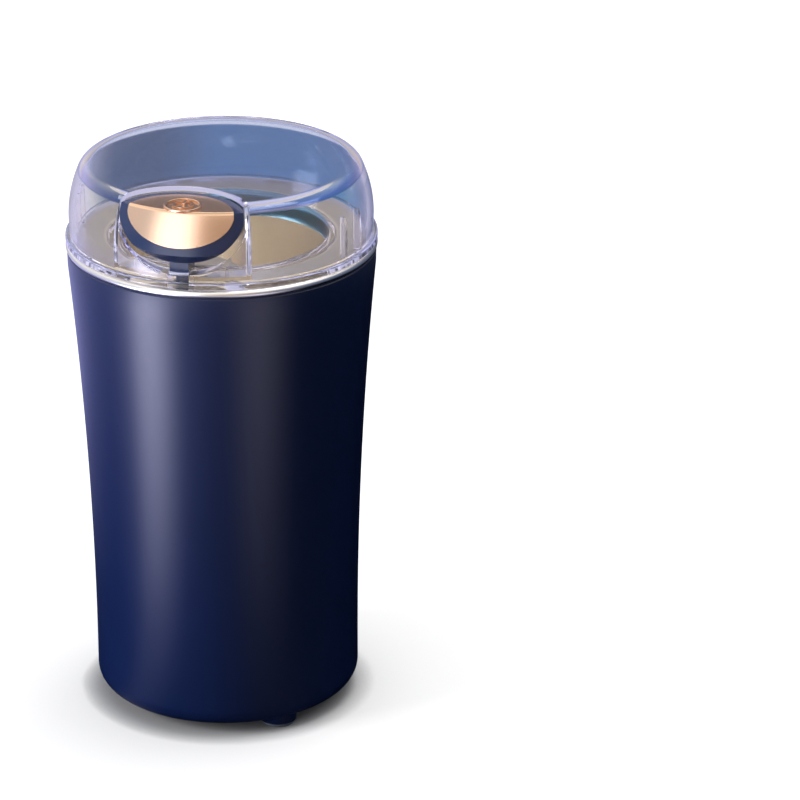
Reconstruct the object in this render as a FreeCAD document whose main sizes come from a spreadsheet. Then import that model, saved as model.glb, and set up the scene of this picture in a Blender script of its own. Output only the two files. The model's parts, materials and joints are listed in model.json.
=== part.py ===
import FreeCAD, Part
import math
import os
import re

import Sketcher

# Electric spice grinder with a press lid, in millimetres.
# Origin: middle of the footprint on the table. +Z is up, and the button faces -Y.

# Driving sizes. Each one is a cell of the sheet, named by its alias.
SIZES = {
    # Housing
    "foot_height": 3.0,
    "base_radius": 43.1,
    "straight_height": 15.0,
    "rim_radius": 50.0,
    "rim_height": 155.0,
    "wall": 2.4,
    "bottom_edge": 6.0,
    "floor_thickness": 3.0,
    "cover_rebate": 1.6,
    "cover_to_foot": 0.9,
    "cover_seat": 2.4,
    "ledge_width": 4.74,
    "ledge_height": 3.0,
    "foot_inset": 7.8,
    "foot_boss_radius": 6.0,
    "foot_boss_drop": 1.5,
    "foot_boss_rise": 1.2,
    "foot_count": 3,
    "foot_radius": 5.2,
    "foot_plug": 2.6,
    "foot_edge": 0.9,
    "barb": 0.6,
    "barb_taper": 0.4,
    "barb_height": 1.6,
    "gap": 0.3,
    "play": 0.05,
    "over": 1.0,
    "chamfer": 0.8,
    # Cord outlet
    "cord_height": 15.5,
    "cord_bore": 3.2,
    "gland_neck": 4.9,
    "gland_flange": 6.6,
    "gland_plate": 1.6,
    "gland_slack": 0.7,
    # Base cover
    "cover_screw_inset": 4.0,
    "screw_count": 3,
    "screw_shank": 1.4,
    "screw_head": 2.6,
    "screw_head_height": 1.6,
    "lug_radius": 3.9,
    "lug_height": 5.4,
    "vent_inner": 8.0,
    "vent_outer": 19.0,
    "vent_half_width": 1.1,
    "vent_count": 12,
    # Bowl
    "bowl_to_rod": 3.7,
    "bowl_wall": 0.7,
    "bowl_depth": 49.0,
    "bowl_corner": 6.0,
    "bead_height": 2.7,
    "bead_width": 2.7,
    "bead_round": 1.3,
    # Bowl carrier
    "carrier_step": 5.0,
    "carrier_plate": 3.0,
    "carrier_hub": 13.0,
    "carrier_ring": 29.0,
    "carrier_ring_wall": 2.0,
    "carrier_rib": 2.0,
    "carrier_rib_count": 6,
    "carrier_screw_inset": 2.64,
    "carrier_screw_head": 2.2,
    # Blade bearing
    "shaft_radius": 3.0,
    "shaft_clearance": 0.05,
    "thread_depth": 0.5,
    "sleeve_radius": 6.0,
    "sleeve_flange": 10.0,
    "sleeve_flange_height": 2.2,
    "sleeve_nut": 10.0,
    "sleeve_nut_height": 3.2,
    "sleeve_clearance": 0.2,
    "washer_height": 0.8,
    "seal_radius": 7.0,
    "seal_height": 1.6,
    "seal_clearance": 0.1,
    # Blade
    "blade_hub_radius": 5.5,
    "blade_hub_height": 3.0,
    "blade_sheet": 1.5,
    "blade_disc": 8.0,
    "blade_tip_gap": 5.8,
    "blade_width": 12.0,
    "blade_tip_width": 7.0,
    "blade_droop": 2.6,
    "blade_bend": 10.0,
    "bend_shift": 0.6,
    "grind_width": 1.6,
    "wing_reach": 21.0,
    "wing_rise": 9.0,
    "blade_nut_radius": 4.6,
    "blade_nut_height": 5.0,
    # Motor
    "motor_drop": 9.0,
    "switch_to_motor": 1.0,
    "bracket_plate": 3.0,
    "bracket_top_gap": 12.0,
    "fan_clearance": 5.0,
    "bracket_low_gap": 19.0,
    "stator_bore": 15.6,
    "air_gap": 0.6,
    "coil_inner": 17.0,
    "coil_to_edge": 5.0,
    "coil_length": 17.0,
    "coil_overhang": 4.5,
    "tie_inset": 4.4,
    "tie_radius": 1.9,
    "tie_post": 3.9,
    "winding_radius": 13.2,
    "winding_height": 6.0,
    "commutator_radius": 9.0,
    "commutator_height": 11.0,
    "commutator_gap": 1.0,
    "armature_slots": 12,
    "slot_depth": 3.0,
    "slot_half_width": 0.8,
    "tie_head": 3.2,
    "tie_head_height": 2.0,
    "tie_short": 2.0,
    "bearing_radius": 9.5,
    "bearing_height": 6.0,
    "bearing_wall": 2.0,
    "bearing_cover": 1.0,
    "bracket_bore_gap": 0.5,
    "window_inset": 8.0,
    "window_radius": 3.5,
    "window_count": 6,
    "fan_radius": 24.0,
    "fan_hub": 6.0,
    "fan_plate": 1.5,
    "fan_height": 8.0,
    "fan_blade": 1.2,
    "fan_blade_count": 8,
    "fan_blade_inset": 0.5,
    "shaft_tail": 2.0,
    "shaft_short": 1.2,
    "fan_gap": 1.0,
    # Brushes
    "brush_size": 5.0,
    "brush_length": 8.5,
    "holder_wall": 1.6,
    "holder_reach": 24.5,
    "brush_height": 7.0,
    "holder_gap": 1.5,
    "holder_foot_gap": 5.0,
    "brush_spring_bore": 1.3,
    "brush_spring_radius": 2.1,
    # Lid
    "lid_gap": 0.2,
    "lid_flange": 2.2,
    "lid_height": 26.1,
    "lid_inset": 1.4,
    "lid_flare": 0.2,
    "lid_wall": 2.0,
    "shoulder_height": 18.0,
    "shoulder_radius": 38.0,
    "lid_top_edge": 4.5,
    "skirt_gap": 0.4,
    "skirt_wall": 1.8,
    "skirt_depth": 5.2,
    # Button pocket in the lid
    "button_travel": 3.0,
    "frame_half_width": 20.5,
    "frame_half_height": 15.5,
    "frame_drop": 2.9,
    "frame_plan_radius": 21.3,
    "button_drop": 2.0,
    "button_proud": 0.4,
    "button_gap": 0.4,
    "pocket_wall": 1.6,
    "pocket_floor": 1.5,
    "collar_wall": 1.2,
    "collar_depth": 5.0,
    "cap_half_width": 17.3,
    "cap_half_height": 9.9,
    "cap_plan_radius": 17.9,
    "cap_plan_inset": 0.7,
    "cap_proud": 0.2,
    "cap_rise": 0.3,
    "cap_room": 2.0,
    "stem_half_width": 3.1,
    "stem_inset": 3.0,
    "stem_behind_rod": 1.2,
    "tip_half_width": 2.0,
    "tip_depth": 2.4,
    "button_spring_behind_rod": 5.495315,
    "spring_room": 3.1,
    "spring_well": 4.2,
    "lip_start": 2.2,
    "lip_reach": 8.4,
    "lip_half_height": 5.1,
    # Push rod and switch
    "rod_inset": 1.360285,
    "rod_head": 2.6,
    "rod_shank": 1.5,
    "rod_sunk": 0.1,
    "rod_running": 0.1,
    "rod_head_length": 37.5,
    "rod_guide": 2.6,
    "rod_guide_height": 3.0,
    "rod_foot_height": 2.0,
    "rod_foot_reach": 9.0,
    "rod_foot_half_width": 2.2,
    "switch_half_length": 13.9,
    "switch_inset": 2.5,
    "switch_depth": 10.0,
    "switch_height": 15.9,
    "switch_drop": 12.0,
    "plunger_inset": 7.5,
    "plunger_radius": 1.4,
    "plunger_free": 1.2,
    "plunger_sunk": 4.0,
    "plunger_well": 6.5,
    "terminal_inset": 3.0,
    "terminal_half_sheet": 0.4,
    "terminal_half_width": 2.4,
    "terminal_length": 6.0,
    "switch_hole_place": 11.1,
    "switch_hole_height": 2.9,
    "tab_inner": 9.2,
    "tab_width": 5.5,
    "tab_plate": 1.7,
    # Springs
    "spring_wire": 0.5,
    "spring_radius": 2.2,
    "button_spring_turns": 4,
    "rod_spring_turns": 8,
}

# Places that follow from the driving sizes, as text for the sheet's expressions.
BOTTOM = "foot_height"
BOSS_BOTTOM = "(foot_height - foot_boss_drop)"
FLOOR_TOP = "(foot_height + floor_thickness)"
BOSS_TOP = "(FLOOR_TOP + foot_boss_rise)"
FLARE = "(rim_radius - base_radius)"
FLARE_HEIGHT = "(rim_height - straight_height)"
FLARE_RADIUS = "((FLARE_HEIGHT^2 + FLARE^2) / (2 * FLARE))"
BOWL_TOP = "(rim_height + bead_height)"
BOWL_FLOOR = "(BOWL_TOP - bowl_depth)"
BOWL_BOTTOM = "(BOWL_FLOOR - bowl_wall)"
CARRIER_TOP = "(BOWL_BOTTOM - carrier_step)"
CARRIER_BOTTOM = "(CARRIER_TOP - carrier_plate)"
LEDGE_BOTTOM = "(CARRIER_BOTTOM - ledge_height)"
CARRIER_CLIMB = "(CARRIER_BOTTOM - straight_height)"
SIDE_AT_CARRIER = "(base_radius + FLARE_RADIUS - sqrt((FLARE_RADIUS + wall)^2 - CARRIER_CLIMB^2))"
LEDGE_RADIUS = "(SIDE_AT_CARRIER - ledge_width)"
CARRIER_SCREW_CIRCLE = "(SIDE_AT_CARRIER - carrier_screw_inset)"
SWITCH_CLIMB = "(SWITCH_SCREW - screw_head - straight_height)"
SIDE_AT_SWITCH = "(base_radius + FLARE_RADIUS - sqrt((FLARE_RADIUS + wall)^2 - SWITCH_CLIMB^2))"
ROD_CIRCLE = "(SIDE_AT_SWITCH - rod_inset)"
BOWL_RADIUS = "(ROD_CIRCLE - bowl_to_rod)"
BLADE_REACH = "(BOWL_RADIUS - blade_tip_gap)"
SWITCH_FRONT = "(ROD_CIRCLE - switch_inset)"
PLUNGER_PLACE = "(ROD_CIRCLE - plunger_inset)"
FOOT_CIRCLE = "(base_radius - foot_inset)"
COVER_RADIUS = "(FOOT_CIRCLE - foot_boss_radius - cover_to_foot)"
COVER_OPENING = "(COVER_RADIUS - cover_seat)"
SCREW_CIRCLE = "(COVER_RADIUS - cover_screw_inset)"
LID_FOOT_RADIUS = "(rim_radius - lid_inset)"
LID_WALL_RADIUS = "(LID_FOOT_RADIUS + lid_flare)"
CAP_PLAN_CENTRE = "(LID_WALL_RADIUS - cap_plan_inset)"
STEM_FRONT = "(LID_WALL_RADIUS - stem_inset)"
STEM_BACK = "(ROD_CIRCLE - stem_behind_rod)"
BUTTON_SPRING_PLACE = "(ROD_CIRCLE - button_spring_behind_rod)"
MOTOR_TOP = "(CARRIER_BOTTOM - motor_drop)"
STACK_TOP = "(MOTOR_TOP - bracket_plate - bracket_top_gap)"
FAN_BOTTOM = "(FLOOR_TOP + fan_clearance)"
LOW_HUB_BOTTOM = "(FAN_BOTTOM + fan_height + fan_gap)"
LOW_BEARING = "(LOW_HUB_BOTTOM + bearing_wall)"
LOW_BRACKET_TOP = "(LOW_BEARING + bearing_height + bearing_cover)"
STACK_BOTTOM = "(LOW_BRACKET_TOP + bracket_low_gap)"
STACK_HEIGHT = "(STACK_TOP - STACK_BOTTOM)"
LOW_BRACKET_BOTTOM = "(LOW_BRACKET_TOP - bracket_plate)"
TOP_BEARING = "(MOTOR_TOP - bearing_wall - bearing_height)"
SHAFT_BOTTOM = "(FAN_BOTTOM - shaft_tail)"
SHAFT_BORE = "(shaft_radius + shaft_clearance)"
THREAD_RADIUS = "(shaft_radius - thread_depth)"
SLEEVE_TOP = "(BOWL_FLOOR + washer_height + sleeve_flange_height)"
SEAL_TOP = "(SLEEVE_TOP + seal_height)"
HUB_BOTTOM = "(SEAL_TOP + gap)"
BLADE_BOTTOM = "(HUB_BOTTOM + blade_hub_height)"
BLADE_TOP = "(BLADE_BOTTOM + blade_sheet)"
LID_BOTTOM = "(BOWL_TOP + lid_gap)"
LID_STEP = "(LID_BOTTOM + lid_flange)"
LID_TOP = "(LID_BOTTOM + lid_height)"
FRAME_CENTRE = "(LID_TOP - frame_drop)"
BUTTON_TOP = "(LID_TOP - button_drop)"
SHOULDER = "(LID_TOP - shoulder_height)"
SHOULDER_IN = "(shoulder_radius - sqrt(shoulder_radius^2 - shoulder_height^2))"
INNER_ARC = "(shoulder_radius - lid_wall)"
INNER_RISE = "(shoulder_height - lid_wall)"
INNER_IN = "(INNER_ARC - sqrt(INNER_ARC^2 - INNER_RISE^2))"
POCKET_FLOOR = "(LID_STEP + pocket_floor)"
POCKET_RADIUS = "(frame_plan_radius + button_gap)"
PRESSED_CENTRE = "(FRAME_CENTRE - button_travel)"
ROOM_WIDTH = "(frame_half_width + button_gap)"
ROOM_HEIGHT = "(frame_half_height + button_gap)"
SKIRT_OUT = "(BOWL_RADIUS - skirt_gap)"
FRAME_BOTTOM = "(FRAME_CENTRE - frame_half_height)"
ROD_TOP = "(BOWL_TOP - rod_sunk)"
ROD_SHOULDER = "(ROD_TOP - rod_head_length)"
ROD_GUIDE_TOP = "(CARRIER_TOP + rod_guide_height)"
ROD_FOOT_TOP = "(LEDGE_BOTTOM - gap)"
ROD_FOOT_BOTTOM = "(ROD_FOOT_TOP - rod_foot_height)"
SWITCH_TOP = "(CARRIER_BOTTOM - switch_drop)"
SWITCH_BOTTOM = "(SWITCH_TOP - switch_height)"
SWITCH_BACK = "(SWITCH_FRONT - switch_depth)"
MOTOR_RADIUS = "(SWITCH_BACK - switch_to_motor)"
COIL_WIDTH = "(MOTOR_RADIUS - coil_inner - coil_to_edge)"
TIE_CIRCLE = "(MOTOR_RADIUS - tie_inset)"
SWITCH_SCREW = "(SWITCH_BOTTOM + switch_hole_height)"
PLUNGER_TOP = "(ROD_FOOT_BOTTOM - plunger_free)"
STEM_BOTTOM = "(LID_BOTTOM + button_travel + gap)"
TIP_BOTTOM = "(ROD_TOP + gap)"
COVER_TOP = "(foot_height + cover_rebate)"
BRUSH_CENTRE = "(LOW_BRACKET_TOP + brush_height)"
BRUSH_HALF = "(brush_size / 2)"
HOLDER_HALF = "(BRUSH_HALF + play + holder_wall)"
COMMUTATOR_TOP = "(STACK_BOTTOM - winding_height - commutator_gap)"

PLACES = {name: text for name, text in globals().items() if name.isupper() and isinstance(text, str)}

# Angles round the axis in degrees, counted from the front towards +X.
FOOT_TURN = 44
SCREW_TURN = 105
CARRIER_TURNS = (60, 180, 300)
WINDOW_TURN = 30

WORD = re.compile(r"[A-Za-z][A-Za-z0-9_]*")

document = FreeCAD.newDocument("spice_grinder")
sheet = document.addObject("Spreadsheet::Sheet", "dims")
for row, (alias, size) in enumerate(SIZES.items(), start=1):
    sheet.set("A%d" % row, alias)
    sheet.set("B%d" % row, str(size))
    sheet.setAlias("B%d" % row, alias)
document.recompute()

pieces = []
place_values = {}


def spelled_out(text):
    """The text with each place written out in driving sizes."""
    while any(word in PLACES for word in WORD.findall(text)):
        text = WORD.sub(lambda found: PLACES.get(found.group(0), found.group(0)), text)
    return text


def bound(text):
    """The text as an expression on the sheet's aliases."""
    return WORD.sub(
        lambda found: "dims." + found.group(0) if found.group(0) in SIZES else found.group(0),
        spelled_out(str(text)),
    )


def number(text):
    """The value of such a text, to start a sketch near its place."""
    def value(found):
        word = found.group(0)
        if word in SIZES:
            return repr(float(SIZES[word]))
        if word in PLACES and word not in place_values:
            place_values[word] = number(PLACES[word])
        return "(%r)" % place_values[word] if word in PLACES else word

    return FreeCAD.Units.Quantity(WORD.sub(value, str(text))).Value


def new_body(label):
    body = document.addObject("PartDesign::Body", label)
    body.Label = label
    pieces.append(body)
    return body


def new_sketch(body, plane, lift="0"):
    """A sketch on one of the body's own planes, moved along the plane's normal."""
    sketch = body.newObject("Sketcher::SketchObject", "sketch")
    support = [item for item in body.Origin.OriginFeatures if item.Role == plane + "_Plane"][0]
    sketch.AttachmentSupport = [(support, "")]
    sketch.MapMode = "FlatFace"
    sketch.setExpression("AttachmentOffset.Base.z", bound(lift))
    return sketch


def pin_point(sketch, geometry, point, across, along):
    for kind, text in (("DistanceX", across), ("DistanceY", along)):
        index = sketch.addConstraint(Sketcher.Constraint(kind, -1, 1, geometry, point, number(text)))
        sketch.setExpression("Constraints[%d]" % index, bound(text))


def outline(sketch, corners, arcs=None):
    """Closed outline through the corners. arcs gives the radius of the edge that starts at a corner;
    a positive one has its centre on the left of the way round."""
    arcs = arcs or {}
    spots = [FreeCAD.Vector(number(across), number(along), 0) for across, along in corners]
    edges = []
    for index, start in enumerate(spots):
        end = spots[(index + 1) % len(spots)]
        if index in arcs:
            radius = number(arcs[index])
            chord = end - start
            rise = math.sqrt(radius ** 2 - (chord.Length / 2) ** 2)
            left = FreeCAD.Vector(-chord.y, chord.x, 0).normalize()
            centre = (start + end) * 0.5 + left * math.copysign(rise, radius)
            first, last = (start, end) if radius > 0 else (end, start)
            begin = math.atan2(first.y - centre.y, first.x - centre.x)
            finish = math.atan2(last.y - centre.y, last.x - centre.x)
            circle_edge = Part.Circle(centre, FreeCAD.Vector(0, 0, 1), abs(radius))
            geometry = sketch.addGeometry(Part.ArcOfCircle(circle_edge, begin, finish), False)
            edges.append((geometry, 1, 2) if radius > 0 else (geometry, 2, 1))
            size = sketch.addConstraint(Sketcher.Constraint("Radius", geometry, abs(radius)))
            sign = "" if radius > 0 else "-1 * "
            sketch.setExpression("Constraints[%d]" % size, sign + "(" + bound(arcs[index]) + ")")
        else:
            geometry = sketch.addGeometry(Part.LineSegment(start, end), False)
            edges.append((geometry, 1, 2))
    for index, (geometry, start, end) in enumerate(edges):
        following = edges[(index + 1) % len(edges)]
        sketch.addConstraint(Sketcher.Constraint("Coincident", geometry, end, following[0], following[1]))
        pin_point(sketch, geometry, start, *corners[index])
    return sketch


def circle(sketch, across, along, radius):
    spot = FreeCAD.Vector(number(across), number(along), 0)
    geometry = sketch.addGeometry(Part.Circle(spot, FreeCAD.Vector(0, 0, 1), number(radius)), False)
    pin_point(sketch, geometry, 3, across, along)
    index = sketch.addConstraint(Sketcher.Constraint("Radius", geometry, number(radius)))
    sketch.setExpression("Constraints[%d]" % index, bound(radius))
    return sketch


def ellipse(sketch, across, along, half_width, half_height):
    """Upright ellipse, wider than it is high."""
    spot = FreeCAD.Vector(number(across), number(along), 0)
    side = spot + FreeCAD.Vector(number(half_width), 0, 0)
    top = spot + FreeCAD.Vector(0, number(half_height), 0)
    geometry = sketch.addGeometry(Part.Ellipse(side, top, spot), False)
    sketch.exposeInternalGeometry(geometry)
    pin_point(sketch, geometry, 3, across, along)
    for axis, text in ((geometry + 1, half_width), (geometry + 2, half_height)):
        index = sketch.addConstraint(Sketcher.Constraint("Distance", axis, 2 * number(text)))
        sketch.setExpression("Constraints[%d]" % index, "2 * (" + bound(text) + ")")
    sketch.addConstraint(Sketcher.Constraint("Horizontal", geometry + 1))
    return sketch


def rectangle(sketch, left, right, low, high):
    return outline(sketch, [(left, low), (right, low), (right, high), (left, high)])


def feature(body, kind, sketch, prop, text):
    made = body.newObject("PartDesign::" + kind, kind.lower())
    made.Profile = sketch
    made.setExpression(prop, bound(text))
    return made


def pad(body, sketch, height, both_ways=False):
    made = feature(body, "Pad", sketch, "Length", height)
    if both_ways:
        made.SideType = "Symmetric"
    return made


def pocket(body, sketch, depth, reverse=False):
    """A cut from the sketch against its normal: down from XY, towards +Y from XZ, -X from YZ."""
    made = feature(body, "Pocket", sketch, "Length", depth)
    made.Reversed = reverse
    return made


def turned(body, kind, sketch):
    made = body.newObject("PartDesign::" + kind, kind.lower())
    made.Profile = sketch
    made.ReferenceAxis = (sketch, ["V_Axis"])
    made.Angle = 360
    return made


def lathe(body, corners, arcs=None):
    return turned(body, "Revolution", outline(new_sketch(body, "XZ"), corners, arcs))


def groove(body, corners, arcs=None):
    return turned(body, "Groove", outline(new_sketch(body, "XZ"), corners, arcs))


def around(body, features, count):
    """Copies of the features evenly round the body's own Z axis."""
    pattern = body.newObject("PartDesign::PolarPattern", "pattern")
    pattern.Originals = features
    axis = [item for item in body.Origin.OriginFeatures if item.Role == "Z_Axis"][0]
    pattern.Axis = (axis, [""])
    pattern.Angle = 360
    pattern.setExpression("Occurrences", bound(count))
    body.Tip = pattern
    return pattern


def edges_where(shape, chosen):
    return ["Edge%d" % (index + 1) for index, edge in enumerate(shape.Edges) if chosen(edge)]


def ring_at(radius, height):
    """Picks the whole circles about Z with this radius at this height."""
    def chosen(edge):
        box = edge.BoundBox
        level = abs(box.ZMin - number(height)) < 0.01 and box.ZLength < 0.01
        return level and abs(box.XMax - number(radius)) < 0.02 and abs(box.XMin + number(radius)) < 0.02
    return chosen


def fillet(body, radius, chosen, kind="Fillet"):
    document.recompute()
    tip = body.Tip
    made = body.newObject("PartDesign::" + kind, kind.lower())
    made.Base = (tip, edges_where(tip.Shape, chosen))
    made.setExpression("Radius" if kind == "Fillet" else "Size", bound(radius))
    return made


def placed(body, x="0", y="0", z="0", turn=0):
    """Puts a body in its place, turned about Z by a number of degrees."""
    body.Placement = FreeCAD.Placement(FreeCAD.Vector(), FreeCAD.Rotation(FreeCAD.Vector(0, 0, 1), turn))
    for letter, text in (("x", x), ("y", y), ("z", z)):
        body.setExpression("Placement.Base." + letter, bound(text))


def spoke(radius, turn):
    """Place on a circle about Z, as two texts; turn 0 is the front, and it grows towards +X."""
    angle = math.radians(turn)
    return "(%s) * %.9f" % (radius, math.sin(angle)), "(%s) * %.9f" % (radius, -math.cos(angle))


def on_circle(body, radius, turn, z="0"):
    """Puts a body on a circle about Z; turn 0 is the front, and it grows towards +X."""
    placed(body, *spoke(radius, turn), z, turn)


def coil(label, wire_radius, mean_radius, low, high, turns, x, y):
    """A wound spring on a vertical axis, with one unbroken wire of biarcs, four to a turn."""
    steps = 4 * turns
    climb = (high - low - 2 * wire_radius) / steps

    def spot(step):
        angle = step * math.pi / 2
        lift = low + wire_radius + climb * step
        return FreeCAD.Vector(x + mean_radius * math.cos(angle), y + mean_radius * math.sin(angle), lift)

    def heading(step):
        angle = step * math.pi / 2
        slope = climb / (math.pi / 2)
        way = FreeCAD.Vector(-mean_radius * math.sin(angle), mean_radius * math.cos(angle), slope)
        return way.normalize()

    def arc(start, control, end):
        half_chord = (end - start).Length / 2
        lean = math.acos(min(1.0, half_chord / (control - start).Length))
        middle = (start + end) * 0.5
        bulge = middle + (control - middle) * (math.tan(lean / 2) / math.tan(lean))
        return Part.Arc(start, bulge, end).toShape()

    curve = []
    for step in range(steps):
        start, end = spot(step), spot(step + 1)
        leave, arrive = heading(step), heading(step + 1)
        span = end - start
        total = leave + arrive
        spread = 2 * (1 - leave.dot(arrive))
        reach = (math.sqrt(span.dot(total) ** 2 + spread * span.dot(span)) - span.dot(total)) / spread
        first, last = start + leave * reach, end - arrive * reach
        joint = (first + last) * 0.5
        curve.append(arc(start, first, joint))
        curve.append(arc(joint, last, end))
    path = Part.Wire(curve)
    section = Part.Wire(Part.Circle(spot(0), heading(0), wire_radius).toShape())
    sweep = Part.BRepOffsetAPI.MakePipeShell(path)
    sweep.add(section)
    sweep.build()
    sweep.makeSolid()
    piece = document.addObject("Part::Feature", label)
    piece.Label = label
    piece.Shape = sweep.shape()
    pieces.append(piece)
    print(label, "least gap to itself %.2f mm" % (4 * climb - 2 * wire_radius))
    return piece


def flare_at(height, inset="0"):
    """Radius of the housing's flared side at a height, or of a surface inset from it."""
    arc = "(FLARE_RADIUS + %s)" % inset
    return "(base_radius + FLARE_RADIUS - sqrt(%s^2 - (%s - straight_height)^2))" % (arc, height)


def drill(body, plane, lift, depth, x, y, radius, reverse=False):
    return pocket(body, circle(new_sketch(body, plane, lift), x, y, radius), depth, reverse)


def column(body, low, high, x, y, radius):
    return pad(body, circle(new_sketch(body, "XY", low), x, y, radius), "(%s) - (%s)" % (high, low))


def block(body, left, right, front, back, low, high):
    """Upright box between two heights; front and back are places along Y."""
    plan = rectangle(new_sketch(body, "XY", low), left, right, front, back)
    return pad(body, plan, "(%s) - (%s)" % (high, low))


def ring(label, inner, outer, low, high):
    """Plain ring about Z between two heights."""
    body = new_body(label)
    lathe(body, [(inner, low), (outer, low), (outer, high), (inner, high)])
    return body


def hexagon(sketch, radius):
    """Six-sided outline about the origin with this radius at its corners."""
    return outline(sketch, [spoke(radius, 60 * corner) for corner in range(6)])


def along_y(body, x, z):
    """Lays a body's own axis along +Y at a place in X and Z."""
    body.Placement = FreeCAD.Placement(FreeCAD.Vector(), FreeCAD.Rotation(FreeCAD.Vector(1, 0, 0), -90))
    body.setExpression("Placement.Base.x", bound(x))
    body.setExpression("Placement.Base.z", bound(z))


def make_housing():
    """Flared tube with a rounded bottom edge, foot bosses, screw lugs, cord hole and carrier ledge."""
    body = new_body("housing")
    corners = [
        ("COVER_OPENING", FLOOR_TOP),
        ("COVER_OPENING", COVER_TOP),
        ("COVER_RADIUS + gap", COVER_TOP),
        ("COVER_RADIUS + gap", BOTTOM),
        ("base_radius", BOTTOM),
        ("base_radius", "straight_height"),
        ("rim_radius", "rim_height"),
        (flare_at("rim_height", "wall"), "rim_height"),
        ("base_radius - wall", "straight_height"),
        ("base_radius - wall", FLOOR_TOP),
    ]
    lathe(body, corners, {5: "-1 * FLARE_RADIUS", 7: "FLARE_RADIUS + wall"})
    fillet(body, "bottom_edge", ring_at("base_radius", BOTTOM))
    fillet(body, "bottom_edge - wall", ring_at("base_radius - wall", FLOOR_TOP))
    # The ledge runs into the flared wall, with a gap at the front for the push rod.
    ledge_outer = flare_at(LEDGE_BOTTOM, "wall / 2")
    lathe(body, [
        ("LEDGE_RADIUS", LEDGE_BOTTOM),
        (ledge_outer, LEDGE_BOTTOM),
        (ledge_outer, CARRIER_BOTTOM),
        ("LEDGE_RADIUS", CARRIER_BOTTOM),
    ])
    rod_gap = new_sketch(body, "XY", CARRIER_BOTTOM + " + gap")
    rectangle(rod_gap, "-2 * rod_head", "2 * rod_head",
              "-1 * ROD_CIRCLE - rod_guide", "2 * over - LEDGE_RADIUS")
    pocket(body, rod_gap, "ledge_height + 2 * gap")
    for turn in CARRIER_TURNS:
        x, y = spoke("CARRIER_SCREW_CIRCLE", turn)
        drill(body, "XY", CARRIER_BOTTOM + " + over", "ledge_height + 2 * over", x, y, "screw_shank + play")
    # Foot bosses with the holes of the foot plugs
    x, y = spoke("FOOT_CIRCLE", FOOT_TURN)
    around(body, [column(body, BOSS_BOTTOM, BOSS_TOP, x, y, "foot_boss_radius")], "foot_count")
    hole = drill(body, "XY", BOSS_TOP + " + over", "BOSS_TOP - BOSS_BOTTOM + 2 * over", x, y,
                 "foot_plug + play")
    around(body, [hole], "foot_count")
    # Lugs for the cover's screws reach in over the opening.
    x, y = spoke("SCREW_CIRCLE", SCREW_TURN)
    around(body, [column(body, COVER_TOP, COVER_TOP + " + lug_height", x, y, "lug_radius")], "screw_count")
    hole = drill(body, "XY", COVER_TOP + " - over", "lug_height", x, y, "screw_shank + play", True)
    around(body, [hole], "screw_count")
    drill(body, "XZ", "2 * wall - base_radius", "4 * wall", "0", "cord_height", "gland_neck + play")


def make_base_cover():
    """Vented disc that closes the bottom."""
    body = new_body("base_cover")
    lathe(body, [("0", BOTTOM), ("COVER_RADIUS", BOTTOM), ("COVER_RADIUS", COVER_TOP), ("0", COVER_TOP)])
    vent = new_sketch(body, "XY", COVER_TOP + " + over")
    rectangle(vent, "-1 * vent_half_width", "vent_half_width", "-1 * vent_outer", "-1 * vent_inner")
    around(body, [pocket(body, vent, "cover_rebate + 2 * over")], "vent_count")
    x, y = spoke("SCREW_CIRCLE", SCREW_TURN)
    hole = drill(body, "XY", COVER_TOP + " + over", "cover_rebate + 2 * over", x, y, "screw_shank + play")
    around(body, [hole], "screw_count")


def make_screw(label, radius, turn, head_radius, head_low, head_high, tip):
    """Round-headed screw on a circle about Z. The head may be at either end of the shank."""
    body = new_body(label)
    lathe(body, [
        ("0", head_low),
        (head_radius, head_low),
        (head_radius, head_high),
        ("screw_shank", head_high),
        ("screw_shank", tip),
        ("0", tip),
    ])
    on_circle(body, radius, turn)


def make_feet():
    """Round feet with a barbed plug pushed up through the floor."""
    for index in range(SIZES["foot_count"]):
        body = new_body("foot_%d" % (index + 1))
        lathe(body, [
            ("0", "0"),
            ("foot_radius", "0"),
            ("foot_radius", BOSS_BOTTOM),
            ("foot_plug", BOSS_BOTTOM),
            ("foot_plug", BOSS_TOP),
            ("foot_plug + barb", BOSS_TOP),
            ("foot_plug - barb_taper", BOSS_TOP + " + barb_height"),
            ("0", BOSS_TOP + " + barb_height"),
        ])
        fillet(body, "foot_edge", ring_at("foot_radius", "0"))
        on_circle(body, "FOOT_CIRCLE", FOOT_TURN + 360 / SIZES["foot_count"] * index)


def make_cord_gland():
    """Grommet in the back of the housing, with the bore that a cord passes."""
    body = new_body("cord_gland")
    inside = "base_radius - wall - gland_slack"
    outside = "base_radius + play"
    lathe(body, [
        ("cord_bore", inside + " - gland_plate"),
        ("gland_flange", inside + " - gland_plate"),
        ("gland_flange", inside),
        ("gland_neck", inside),
        ("gland_neck", outside),
        ("gland_flange", outside),
        ("gland_flange - chamfer", outside + " + gland_plate"),
        ("cord_bore", outside + " + gland_plate"),
    ])
    along_y(body, "0", "cord_height")


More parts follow.
